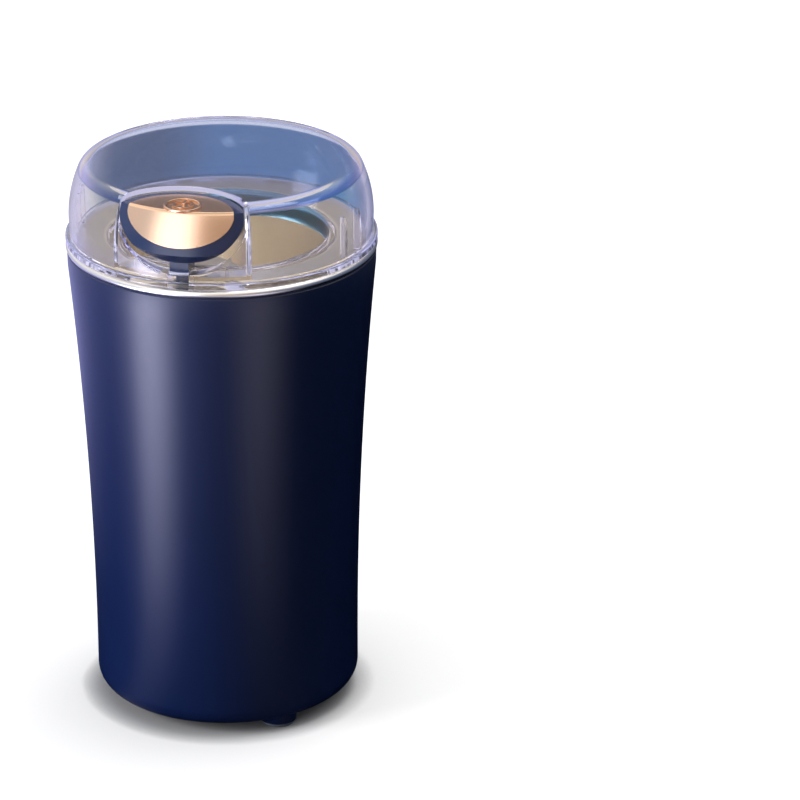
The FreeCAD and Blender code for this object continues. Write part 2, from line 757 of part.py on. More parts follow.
def make_bowl():
    """Drawn steel bowl with a flat flange and a rolled bead that covers the housing's rim."""
    body = new_body("bowl")
    bead_inner = "rim_radius - bead_width"
    lathe(body, [
        ("sleeve_radius + sleeve_clearance", BOWL_BOTTOM),
        ("BOWL_RADIUS + bowl_wall", BOWL_BOTTOM),
        ("BOWL_RADIUS + bowl_wall", BOWL_TOP + " - bowl_wall"),
        (bead_inner, BOWL_TOP + " - bowl_wall"),
        (bead_inner, "rim_height"),
        ("rim_radius", "rim_height"),
        ("rim_radius", BOWL_TOP),
        ("BOWL_RADIUS", BOWL_TOP),
        ("BOWL_RADIUS", BOWL_FLOOR),
        ("sleeve_radius + sleeve_clearance", BOWL_FLOOR),
    ])
    fillet(body, "bowl_corner", ring_at("BOWL_RADIUS", BOWL_FLOOR))
    fillet(body, "bowl_corner + bowl_wall", ring_at("BOWL_RADIUS + bowl_wall", BOWL_BOTTOM))
    fillet(body, "bead_round", lambda edge: (
        ring_at("rim_radius", "rim_height")(edge) or ring_at("rim_radius", BOWL_TOP)(edge)))
    fillet(body, "bowl_wall", ring_at("BOWL_RADIUS", BOWL_TOP))
    drill(body, "XY", BOWL_TOP + " + over", "bead_height", "0", "-1 * ROD_CIRCLE", "rod_head + gap")


def make_carrier():
    """Plate that carries the bowl, the motor, the push rod's guide and the switch."""
    body = new_body("bowl_carrier")
    rim = flare_at(CARRIER_BOTTOM, "wall") + " - gap"
    bore = "sleeve_radius + sleeve_clearance"
    lathe(body, [
        (bore, CARRIER_BOTTOM),
        (rim, CARRIER_BOTTOM),
        (rim, CARRIER_TOP),
        ("carrier_ring", CARRIER_TOP),
        ("carrier_ring", BOWL_BOTTOM),
        ("carrier_ring - carrier_ring_wall", BOWL_BOTTOM),
        ("carrier_ring - carrier_ring_wall", CARRIER_TOP),
        ("carrier_hub", CARRIER_TOP),
        ("carrier_hub", BOWL_BOTTOM),
        (bore, BOWL_BOTTOM),
    ])
    rib = block(body, "carrier_rib / -2", "carrier_rib / 2", "over - carrier_ring", "over - carrier_hub",
                CARRIER_TOP, BOWL_BOTTOM)
    around(body, [rib], "carrier_rib_count")
    # Guide of the push rod
    column(body, LEDGE_BOTTOM, ROD_GUIDE_TOP, "0", "-1 * ROD_CIRCLE", "rod_guide")
    drill(body, "XY", ROD_GUIDE_TOP + " + over", "ROD_GUIDE_TOP - LEDGE_BOTTOM + 2 * over",
          "0", "-1 * ROD_CIRCLE", "rod_shank + rod_running")
    # Posts of the motor
    for side in ("-1 * ", ""):
        column(body, MOTOR_TOP, CARRIER_BOTTOM + " + over", "0", side + "TIE_CIRCLE", "tie_post")
        drill(body, "XY", MOTOR_TOP + " - over", "motor_drop", "0", side + "TIE_CIRCLE",
              "tie_radius + play", True)
    # Tabs of the switch
    tab_outer = "tab_inner + tab_width"
    tab_front, tab_back = "-1 * SWITCH_BACK + play", "-1 * SWITCH_BACK + play + tab_plate"
    low, high = SWITCH_BOTTOM, CARRIER_BOTTOM + " + over"
    block(body, "tab_inner", tab_outer, tab_front, tab_back, low, high)
    block(body, "-1 * tab_inner - tab_width", "-1 * tab_inner", tab_front, tab_back, low, high)
    for side in ("-1 * ", ""):
        drill(body, "XZ", SWITCH_BACK + " + over", "tab_plate + 2 * over", side + "switch_hole_place",
              SWITCH_SCREW, "screw_shank + play")
    for turn in CARRIER_TURNS:
        x, y = spoke("CARRIER_SCREW_CIRCLE", turn)
        drill(body, "XY", CARRIER_TOP + " + over", "carrier_plate + 2 * over", x, y, "screw_shank + play")


def make_blade_bearing():
    """Sleeve through bowl and carrier, with its washer, its nut and the seal on top."""
    sleeve = new_body("bearing_sleeve")
    low = CARRIER_BOTTOM + " - sleeve_nut_height - over"
    flange = "%s + washer_height" % BOWL_FLOOR
    lathe(sleeve, [
        (SHAFT_BORE, low),
        ("sleeve_radius", low),
        ("sleeve_radius", flange),
        ("sleeve_flange", flange),
        ("sleeve_flange - chamfer", SLEEVE_TOP),
        (SHAFT_BORE, SLEEVE_TOP),
    ])
    ring("sleeve_washer", "sleeve_radius + play", "sleeve_flange", BOWL_FLOOR, flange)
    nut = new_body("sleeve_nut")
    nut_low = CARRIER_BOTTOM + " - sleeve_nut_height"
    sketch = hexagon(new_sketch(nut, "XY", nut_low), "sleeve_nut")
    circle(sketch, "0", "0", "sleeve_radius + play")
    pad(nut, sketch, "sleeve_nut_height")
    ring("shaft_seal", "shaft_radius + seal_clearance", "seal_radius", SLEEVE_TOP, SEAL_TOP)


def make_blade():
    """Stamped blade: two long wings that droop and two short ones that rise, with thinned leading edges."""
    body = new_body("blade")
    lathe(body, [
        ("THREAD_RADIUS + play", BLADE_BOTTOM),
        ("blade_disc", BLADE_BOTTOM),
        ("blade_disc", BLADE_TOP),
        ("THREAD_RADIUS + play", BLADE_TOP),
    ])
    half_turn = 2
    long_wing = new_sketch(body, "XZ", "blade_width / -2")
    outline(long_wing, [
        ("blade_disc - 2 * over", BLADE_BOTTOM),
        ("blade_bend", BLADE_BOTTOM),
        ("BLADE_REACH", BLADE_BOTTOM + " - blade_droop"),
        ("BLADE_REACH", BLADE_TOP + " - blade_droop"),
        ("blade_bend", BLADE_TOP),
        ("blade_disc - 2 * over", BLADE_TOP),
    ])
    around(body, [pad(body, long_wing, "blade_width")], half_turn)
    short_wing = new_sketch(body, "YZ", "blade_tip_width / -2")
    outline(short_wing, [
        ("blade_disc - 2 * over", BLADE_BOTTOM),
        ("blade_bend", BLADE_BOTTOM),
        ("wing_reach", BLADE_BOTTOM + " + wing_rise"),
        ("wing_reach", BLADE_TOP + " + wing_rise"),
        ("blade_bend - bend_shift", BLADE_TOP),
        ("blade_disc - 2 * over", BLADE_TOP),
    ])
    around(body, [pad(body, short_wing, "blade_tip_width")], half_turn)
    # The long wings taper to their tips, and their leading edges are ground thin.
    trim = new_sketch(body, "XY", BLADE_TOP + " + over")
    outline(trim, [
        ("blade_bend", "blade_width / -2 - over"),
        ("BLADE_REACH + over", "blade_width / -2 - over"),
        ("BLADE_REACH + over", "blade_width / 2 - blade_tip_width"),
    ])
    around(body, [pocket(body, trim, "blade_sheet + blade_droop + 2 * over")], half_turn)
    grind = new_sketch(body, "XZ", "blade_width / -2")
    outline(grind, [
        ("blade_bend", BLADE_TOP + " + over"),
        ("blade_bend", BLADE_TOP + " - blade_sheet / 2"),
        ("BLADE_REACH + over", BLADE_TOP + " - blade_droop - blade_sheet / 2"),
        ("BLADE_REACH + over", BLADE_TOP + " + over"),
    ])
    around(body, [pocket(body, grind, "grind_width", True)], half_turn)


def make_blade_fixings():
    ring("blade_hub", SHAFT_BORE, "blade_hub_radius", HUB_BOTTOM, BLADE_BOTTOM)
    nut = new_body("blade_nut")
    pad(nut, hexagon(new_sketch(nut, "XY", BLADE_TOP), "blade_nut_radius"), "blade_nut_height")
    drill(nut, "XY", BLADE_TOP, "blade_nut_height - over", "0", "0", "THREAD_RADIUS + play", True)


def make_rotor():
    """Shaft with its core, windings, commutator and fan."""
    shaft = new_body("motor_shaft")
    tip = BLADE_TOP + " + blade_nut_height - shaft_short"
    lathe(shaft, [
        ("0", SHAFT_BOTTOM),
        ("shaft_radius", SHAFT_BOTTOM),
        ("shaft_radius", BLADE_BOTTOM),
        (THREAD_RADIUS, BLADE_BOTTOM),
        (THREAD_RADIUS, tip),
        ("0", tip),
    ])
    core = ring("armature_core", SHAFT_BORE, "stator_bore - air_gap", STACK_BOTTOM, STACK_TOP)
    slot = new_sketch(core, "XY", STACK_TOP + " + over")
    rectangle(slot, "-1 * slot_half_width", "slot_half_width",
              "-1 * stator_bore", "air_gap + slot_depth - stator_bore")
    around(core, [pocket(core, slot, "STACK_HEIGHT + 2 * over")], "armature_slots")
    ring("winding_lower", SHAFT_BORE, "winding_radius", STACK_BOTTOM + " - winding_height", STACK_BOTTOM)
    ring("winding_upper", SHAFT_BORE, "winding_radius", STACK_TOP, STACK_TOP + " + winding_height")
    ring("commutator", SHAFT_BORE, "commutator_radius",
         COMMUTATOR_TOP + " - commutator_height", COMMUTATOR_TOP)
    fan = new_body("cooling_fan")
    plate_top = FAN_BOTTOM + " + fan_plate"
    lathe(fan, [
        (SHAFT_BORE, FAN_BOTTOM),
        ("fan_radius", FAN_BOTTOM),
        ("fan_radius", plate_top),
        ("fan_hub", plate_top),
        ("fan_hub", FAN_BOTTOM + " + fan_height"),
        (SHAFT_BORE, FAN_BOTTOM + " + fan_height"),
    ])
    vane = block(fan, "fan_blade / -2", "fan_blade / 2", "fan_blade_inset - fan_radius", "over - fan_hub",
                 plate_top, FAN_BOTTOM + " + fan_height")
    around(fan, [vane], "fan_blade_count")


def make_stator():
    """Stack with slots for the two field coils and holes for the tie screws."""
    core = new_body("stator_core")
    sketch = new_sketch(core, "XY", STACK_BOTTOM)
    circle(sketch, "0", "0", "MOTOR_RADIUS")
    circle(sketch, "0", "0", "stator_bore")
    coil_inner, coil_outer = "coil_inner - play", "coil_inner + COIL_WIDTH + play"
    half = "coil_length / 2 + play"
    rectangle(sketch, coil_inner, coil_outer, "-1 * coil_length / 2 - play", half)
    rectangle(sketch, "-1 * coil_inner - COIL_WIDTH - play", "play - coil_inner",
              "-1 * coil_length / 2 - play", half)
    for side in ("-1 * ", ""):
        circle(sketch, "0", side + "TIE_CIRCLE", "tie_radius + play")
    pad(core, sketch, "STACK_HEIGHT")
    for label, turn in (("field_coil_right", 90), ("field_coil_left", 270)):
        body = new_body(label)
        block(body, "coil_length / -2", "coil_length / 2", "-1 * coil_inner - COIL_WIDTH", "-1 * coil_inner",
              STACK_BOTTOM + " - coil_overhang", STACK_TOP + " + coil_overhang")
        fillet(body, "COIL_WIDTH / 3", lambda edge: (
            edge.BoundBox.YLength > 1 and edge.BoundBox.ZLength < 0.01))
        placed(body, turn=turn)


def make_bracket(label, plate_low, post_low, post_high, hub_low, hub_high, seat_low, seat_high):
    """Motor bracket: plate, two posts to the stack, and a hub with the seat of a ball bearing."""
    body = new_body(label)
    plate = new_sketch(body, "XY", plate_low)
    circle(plate, "0", "0", "MOTOR_RADIUS")
    pad(body, plate, "bracket_plate")
    column(body, hub_low, hub_high, "0", "0", "bearing_radius + bearing_wall")
    for side in ("-1 * ", ""):
        column(body, post_low, post_high, "0", side + "TIE_CIRCLE", "tie_post")
    drill(body, "XY", hub_high + " + over", "(%s) - (%s) + 2 * over" % (hub_high, hub_low), "0", "0",
          "shaft_radius + bracket_bore_gap")
    drill(body, "XY", seat_high, "(%s) - (%s)" % (seat_high, seat_low), "0", "0", "bearing_radius + play")
    low, high = (plate_low, post_high) if label.startswith("lower") else (post_low, MOTOR_TOP)
    for side in ("-1 * ", ""):
        drill(body, "XY", high + " + over", "(%s) - (%s) + 2 * over" % (high, low), "0", side + "TIE_CIRCLE",
              "tie_radius + play")
    # Air windows beside the hub
    window = new_sketch(body, "XY", plate_low + " + bracket_plate + over")
    circle(window, *spoke("MOTOR_RADIUS - window_inset", WINDOW_TURN), "window_radius")
    around(body, [pocket(body, window, "bracket_plate + 2 * over")], "window_count")


def make_brackets():
    make_bracket("lower_bracket", LOW_BRACKET_BOTTOM, LOW_BRACKET_TOP, STACK_BOTTOM,
                 LOW_HUB_BOTTOM, LOW_BRACKET_TOP, LOW_BEARING, LOW_BRACKET_TOP + " + over")
    make_bracket("upper_bracket", MOTOR_TOP + " - bracket_plate", STACK_TOP, MOTOR_TOP,
                 TOP_BEARING, MOTOR_TOP, TOP_BEARING + " - over", MOTOR_TOP + " - bearing_wall")
    ring("lower_bearing", SHAFT_BORE, "bearing_radius", LOW_BEARING, LOW_BEARING + " + bearing_height")
    ring("upper_bearing", SHAFT_BORE, "bearing_radius", TOP_BEARING, TOP_BEARING + " + bearing_height")
    for label, side in (("motor_screw_front", "-1 * "), ("motor_screw_back", "")):
        body = new_body(label)
        lathe(body, [
            ("0", LOW_BRACKET_BOTTOM + " - tie_head_height"),
            ("tie_head", LOW_BRACKET_BOTTOM + " - tie_head_height"),
            ("tie_head", LOW_BRACKET_BOTTOM),
            ("tie_radius", LOW_BRACKET_BOTTOM),
            ("tie_radius", CARRIER_BOTTOM + " - tie_short"),
            ("0", CARRIER_BOTTOM + " - tie_short"),
        ])
        placed(body, y=side + "TIE_CIRCLE")


def make_brushes():
    """Brush holders on the lower bracket, each with its carbon brush, at the sides of the commutator."""
    for name, turn in (("right", 90), ("left", 270)):
        holder = new_body("brush_holder_" + name)
        front, back = "-1 * holder_reach", "-1 * commutator_radius - holder_gap"
        low, high = BRUSH_CENTRE + " - HOLDER_HALF", BRUSH_CENTRE + " + HOLDER_HALF"
        block(holder, "-1 * HOLDER_HALF", "HOLDER_HALF", front, back, low, high)
        block(holder, "-1 * BRUSH_HALF", "BRUSH_HALF", "2 * over - holder_reach",
              "-1 * commutator_radius - holder_foot_gap", LOW_BRACKET_TOP, low + " + over / 2")
        channel = new_sketch(holder, "XZ", "holder_reach - holder_wall")
        rectangle(channel, "-1 * BRUSH_HALF - play", "BRUSH_HALF + play",
                  BRUSH_CENTRE + " - BRUSH_HALF - play", BRUSH_CENTRE + " + BRUSH_HALF + play")
        pocket(holder, channel, "holder_reach")
        placed(holder, turn=turn)
        brush = new_body("carbon_brush_" + name)
        block(brush, "-1 * BRUSH_HALF", "BRUSH_HALF",
              "-1 * commutator_radius - 2 * play - brush_length", "-1 * commutator_radius - 2 * play",
              BRUSH_CENTRE + " - BRUSH_HALF", BRUSH_CENTRE + " + BRUSH_HALF")
        placed(brush, turn=turn)
        spring = new_body("brush_spring_" + name)
        lathe(spring, [
            ("brush_spring_bore", "2 * play + holder_wall - holder_reach"),
            ("brush_spring_radius", "2 * play + holder_wall - holder_reach"),
            ("brush_spring_radius", "-1 * commutator_radius - 3 * play - brush_length"),
            ("brush_spring_bore", "-1 * commutator_radius - 3 * play - brush_length"),
        ])
        level = FreeCAD.Rotation(FreeCAD.Vector(1, 0, 0), -90)
        spring.Placement = FreeCAD.Placement(
            FreeCAD.Vector(), FreeCAD.Rotation(FreeCAD.Vector(0, 0, 1), turn).multiply(level))
        spring.setExpression("Placement.Base.z", bound(BRUSH_CENTRE))


def make_switch():
    """Snap switch under the carrier, its plunger and its two screws."""
    body = new_body("micro_switch")
    block(body, "-1 * switch_half_length", "switch_half_length", "-1 * SWITCH_FRONT", "-1 * SWITCH_BACK",
          SWITCH_BOTTOM, SWITCH_TOP)
    drill(body, "XY", SWITCH_TOP, "plunger_well", "0", "-1 * PLUNGER_PLACE", "plunger_radius + rod_running")
    for side in ("-1 * ", ""):
        drill(body, "XZ", "SWITCH_FRONT + over", "switch_depth + 2 * over", side + "switch_hole_place",
              SWITCH_SCREW, "screw_shank + play")
    # Terminals under the switch
    for place in ("terminal_inset - switch_half_length", "0", "switch_half_length - terminal_inset"):
        block(body, place + " - terminal_half_sheet", place + " + terminal_half_sheet",
              "-1 * PLUNGER_PLACE - terminal_half_width", "terminal_half_width - PLUNGER_PLACE",
              SWITCH_BOTTOM + " - terminal_length", SWITCH_BOTTOM + " + over / 2")
    plunger = new_body("switch_plunger")
    lathe(plunger, [
        ("0", SWITCH_TOP + " - plunger_sunk"),
        ("plunger_radius", SWITCH_TOP + " - plunger_sunk"),
        ("plunger_radius", PLUNGER_TOP + " - chamfer"),
        ("plunger_radius - chamfer", PLUNGER_TOP),
        ("0", PLUNGER_TOP),
    ])
    placed(plunger, y="-1 * PLUNGER_PLACE")
    for label, side in (("switch_screw_left", "-1 * "), ("switch_screw_right", "")):
        screw = new_body(label)
        end = "-1 * SWITCH_BACK + play + tab_plate"
        lathe(screw, [
            ("0", "-1 * SWITCH_FRONT - screw_head_height"),
            ("screw_head", "-1 * SWITCH_FRONT - screw_head_height"),
            ("screw_head", "-1 * SWITCH_FRONT"),
            ("screw_shank", "-1 * SWITCH_FRONT"),
            ("screw_shank", end),
            ("0", end),
        ])
        along_y(screw, side + "switch_hole_place", SWITCH_SCREW)


def make_push_rod():
    """Rod between the lid's button and the switch: head in the bowl's flange, foot over the plunger."""
    body = new_body("push_rod")
    lathe(body, [
        ("0", ROD_FOOT_BOTTOM),
        ("rod_shank", ROD_FOOT_BOTTOM),
        ("rod_shank", ROD_SHOULDER),
        ("rod_head", ROD_SHOULDER),
        ("rod_head", ROD_TOP),
        ("0", ROD_TOP),
    ])
    block(body, "-1 * rod_foot_half_width", "rod_foot_half_width", "-1 * rod_shank", "rod_foot_reach",
          ROD_FOOT_BOTTOM, ROD_FOOT_TOP)
    placed(body, y="-1 * ROD_CIRCLE")


def lid_side(inset="0"):
    """Corners of the lid's outside up to its flat top, or of a surface outside it."""
    return [
        ("LID_FOOT_RADIUS + " + inset, LID_STEP),
        ("LID_WALL_RADIUS + " + inset, SHOULDER),
        ("LID_WALL_RADIUS - SHOULDER_IN + " + inset, LID_TOP),
    ]


def trim_to_lid(body, inset="0"):
    """Cuts away what reaches outside the lid's side."""
    foot, wall, top = lid_side(inset)
    groove(body, [foot, wall, top, ("2 * rim_radius", LID_TOP), ("2 * rim_radius", LID_STEP)],
           {1: "shoulder_radius"})


def make_lid():
    """Clear lid: flange, skirt in the bowl, curved shoulder, and the walled pocket of the button."""
    body = new_body("lid_shell")
    foot, wall, top = lid_side()
    lathe(body, [
        ("SKIRT_OUT - skirt_wall", LID_BOTTOM + " - skirt_depth"),
        (SKIRT_OUT, LID_BOTTOM + " - skirt_depth"),
        (SKIRT_OUT, LID_BOTTOM),
        ("rim_radius", LID_BOTTOM),
        ("rim_radius", LID_STEP),
        foot,
        wall,
        top,
        ("0", LID_TOP),
        ("0", LID_TOP + " - lid_wall"),
        ("LID_WALL_RADIUS - lid_wall - INNER_IN", LID_TOP + " - lid_wall"),
        ("LID_WALL_RADIUS - lid_wall", SHOULDER),
        ("LID_FOOT_RADIUS - lid_wall", LID_STEP),
        ("SKIRT_OUT - skirt_wall", LID_STEP),
    ], {6: "shoulder_radius", 10: "-1 * INNER_ARC"})
    # Wall and floor of the pocket, and the collar round the front opening
    pocket_wall = new_sketch(body, "XY", LID_STEP)
    circle(pocket_wall, "0", "-1 * LID_WALL_RADIUS", "POCKET_RADIUS + pocket_wall")
    circle(pocket_wall, "0", "-1 * LID_WALL_RADIUS", POCKET_RADIUS)
    pad(body, pocket_wall, "lid_height - lid_flange")
    column(body, LID_STEP, POCKET_FLOOR, "0", "-1 * LID_WALL_RADIUS", "POCKET_RADIUS + pocket_wall / 2")
    collar = new_sketch(body, "XZ", "LID_WALL_RADIUS - collar_depth")
    ellipse(collar, "0", PRESSED_CENTRE, "ROOM_WIDTH + collar_wall", "ROOM_HEIGHT + collar_wall")
    ellipse(collar, "0", PRESSED_CENTRE, ROOM_WIDTH, ROOM_HEIGHT)
    pad(body, collar, "2 * collar_depth")
    above = new_sketch(body, "XY", "2 * LID_TOP")
    circle(above, "0", "0", "2 * rim_radius")
    pocket(body, above, LID_TOP)
    trim_to_lid(body)
    fillet(body, "lid_top_edge", lambda edge: (
        edge.BoundBox.ZMin > number(LID_TOP) - 0.01
        and abs(edge.BoundBox.YMax - number("LID_WALL_RADIUS - SHOULDER_IN")) < 0.05))
    cut_out(body, make_button_room())
    slot = new_sketch(body, "XY", POCKET_FLOOR + " + button_travel")
    rectangle(slot, "-1 * stem_half_width - gap", "stem_half_width + gap",
              "-1 * STEM_FRONT - gap", "gap - STEM_BACK")
    pocket(body, slot, "button_travel + pocket_floor + lid_flange + over")


def make_button_room():
    """What the button's frame sweeps from rest to pressed, with its running gap all round."""
    room = document.addObject("PartDesign::Body", "button_room")
    behind = "LID_WALL_RADIUS - POCKET_RADIUS - over"
    lower = ellipse(new_sketch(room, "XZ", behind), "0", PRESSED_CENTRE, ROOM_WIDTH, ROOM_HEIGHT)
    pad(room, lower, "rim_radius")
    upper = new_sketch(room, "XZ", behind)
    rectangle(upper, "-1 * ROOM_WIDTH", ROOM_WIDTH, PRESSED_CENTRE, "LID_TOP + ROOM_HEIGHT")
    pad(room, upper, "rim_radius")
    keep_inside(room, "LID_WALL_RADIUS", POCKET_RADIUS)
    return room


def keep_inside(body, centre, radius):
    """Trims a body to an upright round column in front of the axis."""
    plan = new_sketch(body, "XY", "2 * LID_TOP")
    circle(plan, "0", "0", "3 * rim_radius")
    circle(plan, "0", "-1 * " + centre, radius)
    pocket(body, plan, "2 * LID_TOP")


def cut_out(body, tool):
    cut = body.newObject("PartDesign::Boolean", "cut")
    cut.Type = "Cut"
    cut.setObjects([tool])


def make_button_block(body, half_width, half_height, centre_height, plan_radius, plan_centre, proud, top,
                      lip=None):
    """Block with an elliptic front, a round back and the lid's side as its face. With a lip, its lower
    edge leans in from that place forward."""
    back = "(%s - %s - over)" % (plan_centre, plan_radius)
    front = new_sketch(body, "XZ", back)
    ellipse(front, "0", centre_height, half_width, half_height)
    pad(body, front, "%s - %s" % (lip, back) if lip else "rim_radius")
    if lip:
        start, end = new_sketch(body, "XZ", lip), new_sketch(body, "XZ", lip + " + lip_reach")
        ellipse(start, "0", centre_height, half_width, half_height)
        narrow = ellipse(end, "0", centre_height, half_width, "lip_half_height")
        lean = body.newObject("PartDesign::AdditiveLoft", "lean")
        lean.Profile = start
        lean.Sections = [narrow]
    keep_inside(body, plan_centre, plan_radius)
    trim_to_lid(body, proud)
    above = new_sketch(body, "XY", "2 * LID_TOP")
    circle(above, "0", "0", "2 * rim_radius")
    pocket(body, above, "2 * LID_TOP - (%s)" % top)


def make_button():
    """Frame with the stem that reaches the push rod, and the cap set into it."""
    room = document.addObject("PartDesign::Body", "cap_room")
    make_button_block(room, "cap_half_width + play", "cap_half_height + play", "FRAME_CENTRE",
                      "(cap_plan_radius + play)", "CAP_PLAN_CENTRE", "cap_room", "BUTTON_TOP + cap_room")
    frame = new_body("button_frame")
    make_button_block(frame, "frame_half_width", "frame_half_height", "FRAME_CENTRE",
                      "frame_plan_radius", "LID_WALL_RADIUS", "button_proud", "BUTTON_TOP",
                      "(LID_WALL_RADIUS - lip_start)")
    cut_out(frame, room)
    block(frame, "-1 * stem_half_width", "stem_half_width", "-1 * STEM_FRONT", "-1 * STEM_BACK",
          STEM_BOTTOM, FRAME_BOTTOM + " + 3 * over")
    block(frame, "-1 * tip_half_width", "tip_half_width", "-1 * ROD_CIRCLE - tip_depth / 2",
          "tip_depth / 2 - ROD_CIRCLE", TIP_BOTTOM, STEM_BOTTOM + " + over")
    drill(frame, "XY", FRAME_BOTTOM + " - over", "spring_well + over", "0", "-1 * BUTTON_SPRING_PLACE",
          "spring_room", True)
    cap = new_body("button_cap")
    make_button_block(cap, "cap_half_width", "cap_half_height", "FRAME_CENTRE", "cap_plan_radius",
                      "CAP_PLAN_CENTRE", "button_proud + cap_proud", "BUTTON_TOP + cap_rise")


def make_springs():
    low = number(POCKET_FLOOR)
    coil("button_spring", SIZES["spring_wire"] / 2, SIZES["spring_radius"], low,
         number(FRAME_BOTTOM + " + spring_well"), SIZES["button_spring_turns"],
         0, -number(BUTTON_SPRING_PLACE))
    coil("rod_spring", SIZES["spring_wire"] / 2, SIZES["spring_radius"], number(ROD_GUIDE_TOP),
         number(ROD_SHOULDER), SIZES["rod_spring_turns"], 0, -number(ROD_CIRCLE))


def main():
    make_housing()
    make_base_cover()
    for index in range(SIZES["screw_count"]):
        turn = SCREW_TURN + 360 / SIZES["screw_count"] * index
        make_screw("cover_screw_%d" % (index + 1), "SCREW_CIRCLE", turn, "screw_head",
                   BOTTOM + " - screw_head_height", BOTTOM, BOTTOM + " + lug_height")
    make_feet()
    make_cord_gland()
    make_bowl()
    make_carrier()
    for index, turn in enumerate(CARRIER_TURNS):
        make_screw("carrier_screw_%d" % (index + 1), "CARRIER_SCREW_CIRCLE", turn, "carrier_screw_head",
                   CARRIER_TOP + " + screw_head_height", CARRIER_TOP, LEDGE_BOTTOM)
    make_blade_bearing()
    make_blade()
    make_blade_fixings()
    make_rotor()
    make_stator()
    make_brackets()
    make_brushes()
    make_switch()
    make_push_rod()
    make_lid()
    make_button()
    make_springs()
    document.recompute()
    check_and_write()


def check_and_write():
    """Every object is sound and every cut removes something before a file is written."""
    for item in document.Objects:
        if "Invalid" in item.State or "Error" in item.State:
            raise RuntimeError("%s failed: %s" % (item.Label, item.State))
        if item.TypeId in ("PartDesign::Pocket", "PartDesign::Groove"):
            if item.Shape.Volume >= item.BaseFeature.Shape.Volume - 1e-6:
                raise RuntimeError("%s cuts nothing" % item.Name)
    for piece in pieces:
        if piece.Shape.isNull() or not piece.Shape.isValid() or len(piece.Shape.Solids) != 1:
            raise RuntimeError("%s is not one sound solid" % piece.Label)
    os.makedirs("parts", exist_ok=True)
    for piece in pieces:
        piece.Shape.exportStep(os.path.join("parts", piece.Label + ".step"))
    print(len(pieces), "pieces written")


main()
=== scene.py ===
import json
import math

import bmesh
import bpy
from mathutils import Matrix, Vector


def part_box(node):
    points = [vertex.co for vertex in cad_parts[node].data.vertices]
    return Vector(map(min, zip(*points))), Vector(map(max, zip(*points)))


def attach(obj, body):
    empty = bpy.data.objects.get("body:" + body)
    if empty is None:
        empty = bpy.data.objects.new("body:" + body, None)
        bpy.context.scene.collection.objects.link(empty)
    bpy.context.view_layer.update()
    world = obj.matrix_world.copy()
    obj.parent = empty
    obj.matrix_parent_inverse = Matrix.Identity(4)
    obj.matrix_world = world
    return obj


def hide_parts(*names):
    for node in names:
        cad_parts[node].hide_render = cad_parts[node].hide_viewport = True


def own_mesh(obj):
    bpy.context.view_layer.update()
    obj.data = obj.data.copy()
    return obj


# Looks of the spice grinder. Shapes are written in millimetres and turned into metres on the way in.
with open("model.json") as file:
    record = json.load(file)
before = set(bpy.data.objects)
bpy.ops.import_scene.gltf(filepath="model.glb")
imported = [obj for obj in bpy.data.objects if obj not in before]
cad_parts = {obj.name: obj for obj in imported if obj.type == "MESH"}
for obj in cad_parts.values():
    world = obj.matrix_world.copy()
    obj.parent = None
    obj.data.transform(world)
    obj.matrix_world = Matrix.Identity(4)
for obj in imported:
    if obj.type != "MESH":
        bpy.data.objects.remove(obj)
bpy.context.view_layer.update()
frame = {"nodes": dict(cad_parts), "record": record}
MM = 0.001
ROUND = 192

# Heights and radii shared by several pieces
LID_BOTTOM = 157.9
LID_STEP = 160.1
LID_TOP = 184.0
LID_WALL = 48.8
SHOULDER = 166.0
SHOULDER_RADIUS = 38.0
FRAME_CENTRE = 181.1
FRAME_RADIUS = 21.3
CAP_RADIUS = 17.9
CAP_CENTRE = 48.1
ROD_CIRCLE = 40.5
POCKET_RADIUS = 21.7
COLLAR_CENTRE = 178.1
SHOULDER_CENTRE = 10.8
BUTTON_SPRING_PLACE = -35.0
BUTTON_FRONT = -55.0
BUTTON_BACK = -26.0
FOOT_TURNS = (44, 164, 284)
FOOT_CIRCLE = 35.3
CORD_HEIGHT = 15.5
SPRING_WIRE = 0.25
SPRING_RADIUS = 2.2
OUTLINE_STEPS = 128

# The camera, from the fit to the photograph
PHOTO_WIDTH = 800.0
FOCAL_PIXELS = 4593.0
CAMERA_TURN = 14.7
CAMERA_TILT = 22.42
CAMERA_PLACE = (0.057124, -1.380897, 0.670618)


# Shapes

def bend(across, along, radius, start, end, steps=12):
    """Points on an arc about (across, along), with angles in degrees."""
    angles = [math.radians(start + (end - start) * step / steps) for step in range(steps + 1)]
    return [(across + radius * math.cos(angle), along + radius * math.sin(angle)) for angle in angles]


def flare(height, inset=0.0):
    """Radius of the housing's flared side at a height."""
    rise, spread = 140.0, 6.9
    radius = (rise ** 2 + spread ** 2) / (2 * spread)
    return 43.1 + radius - math.sqrt((radius + inset) ** 2 - (height - 15.0) ** 2)


def mesh_object(name, mesh_maker):
    made = bmesh.new()
    mesh_maker(made)
    bmesh.ops.remove_doubles(made, verts=made.verts, dist=1e-7)
    bmesh.ops.recalc_face_normals(made, faces=made.faces)
    mesh = bpy.data.meshes.new(name)
    made.to_mesh(mesh)
    made.free()
    piece = bpy.data.objects.new(name, mesh)
    bpy.context.scene.collection.objects.link(piece)
    return piece


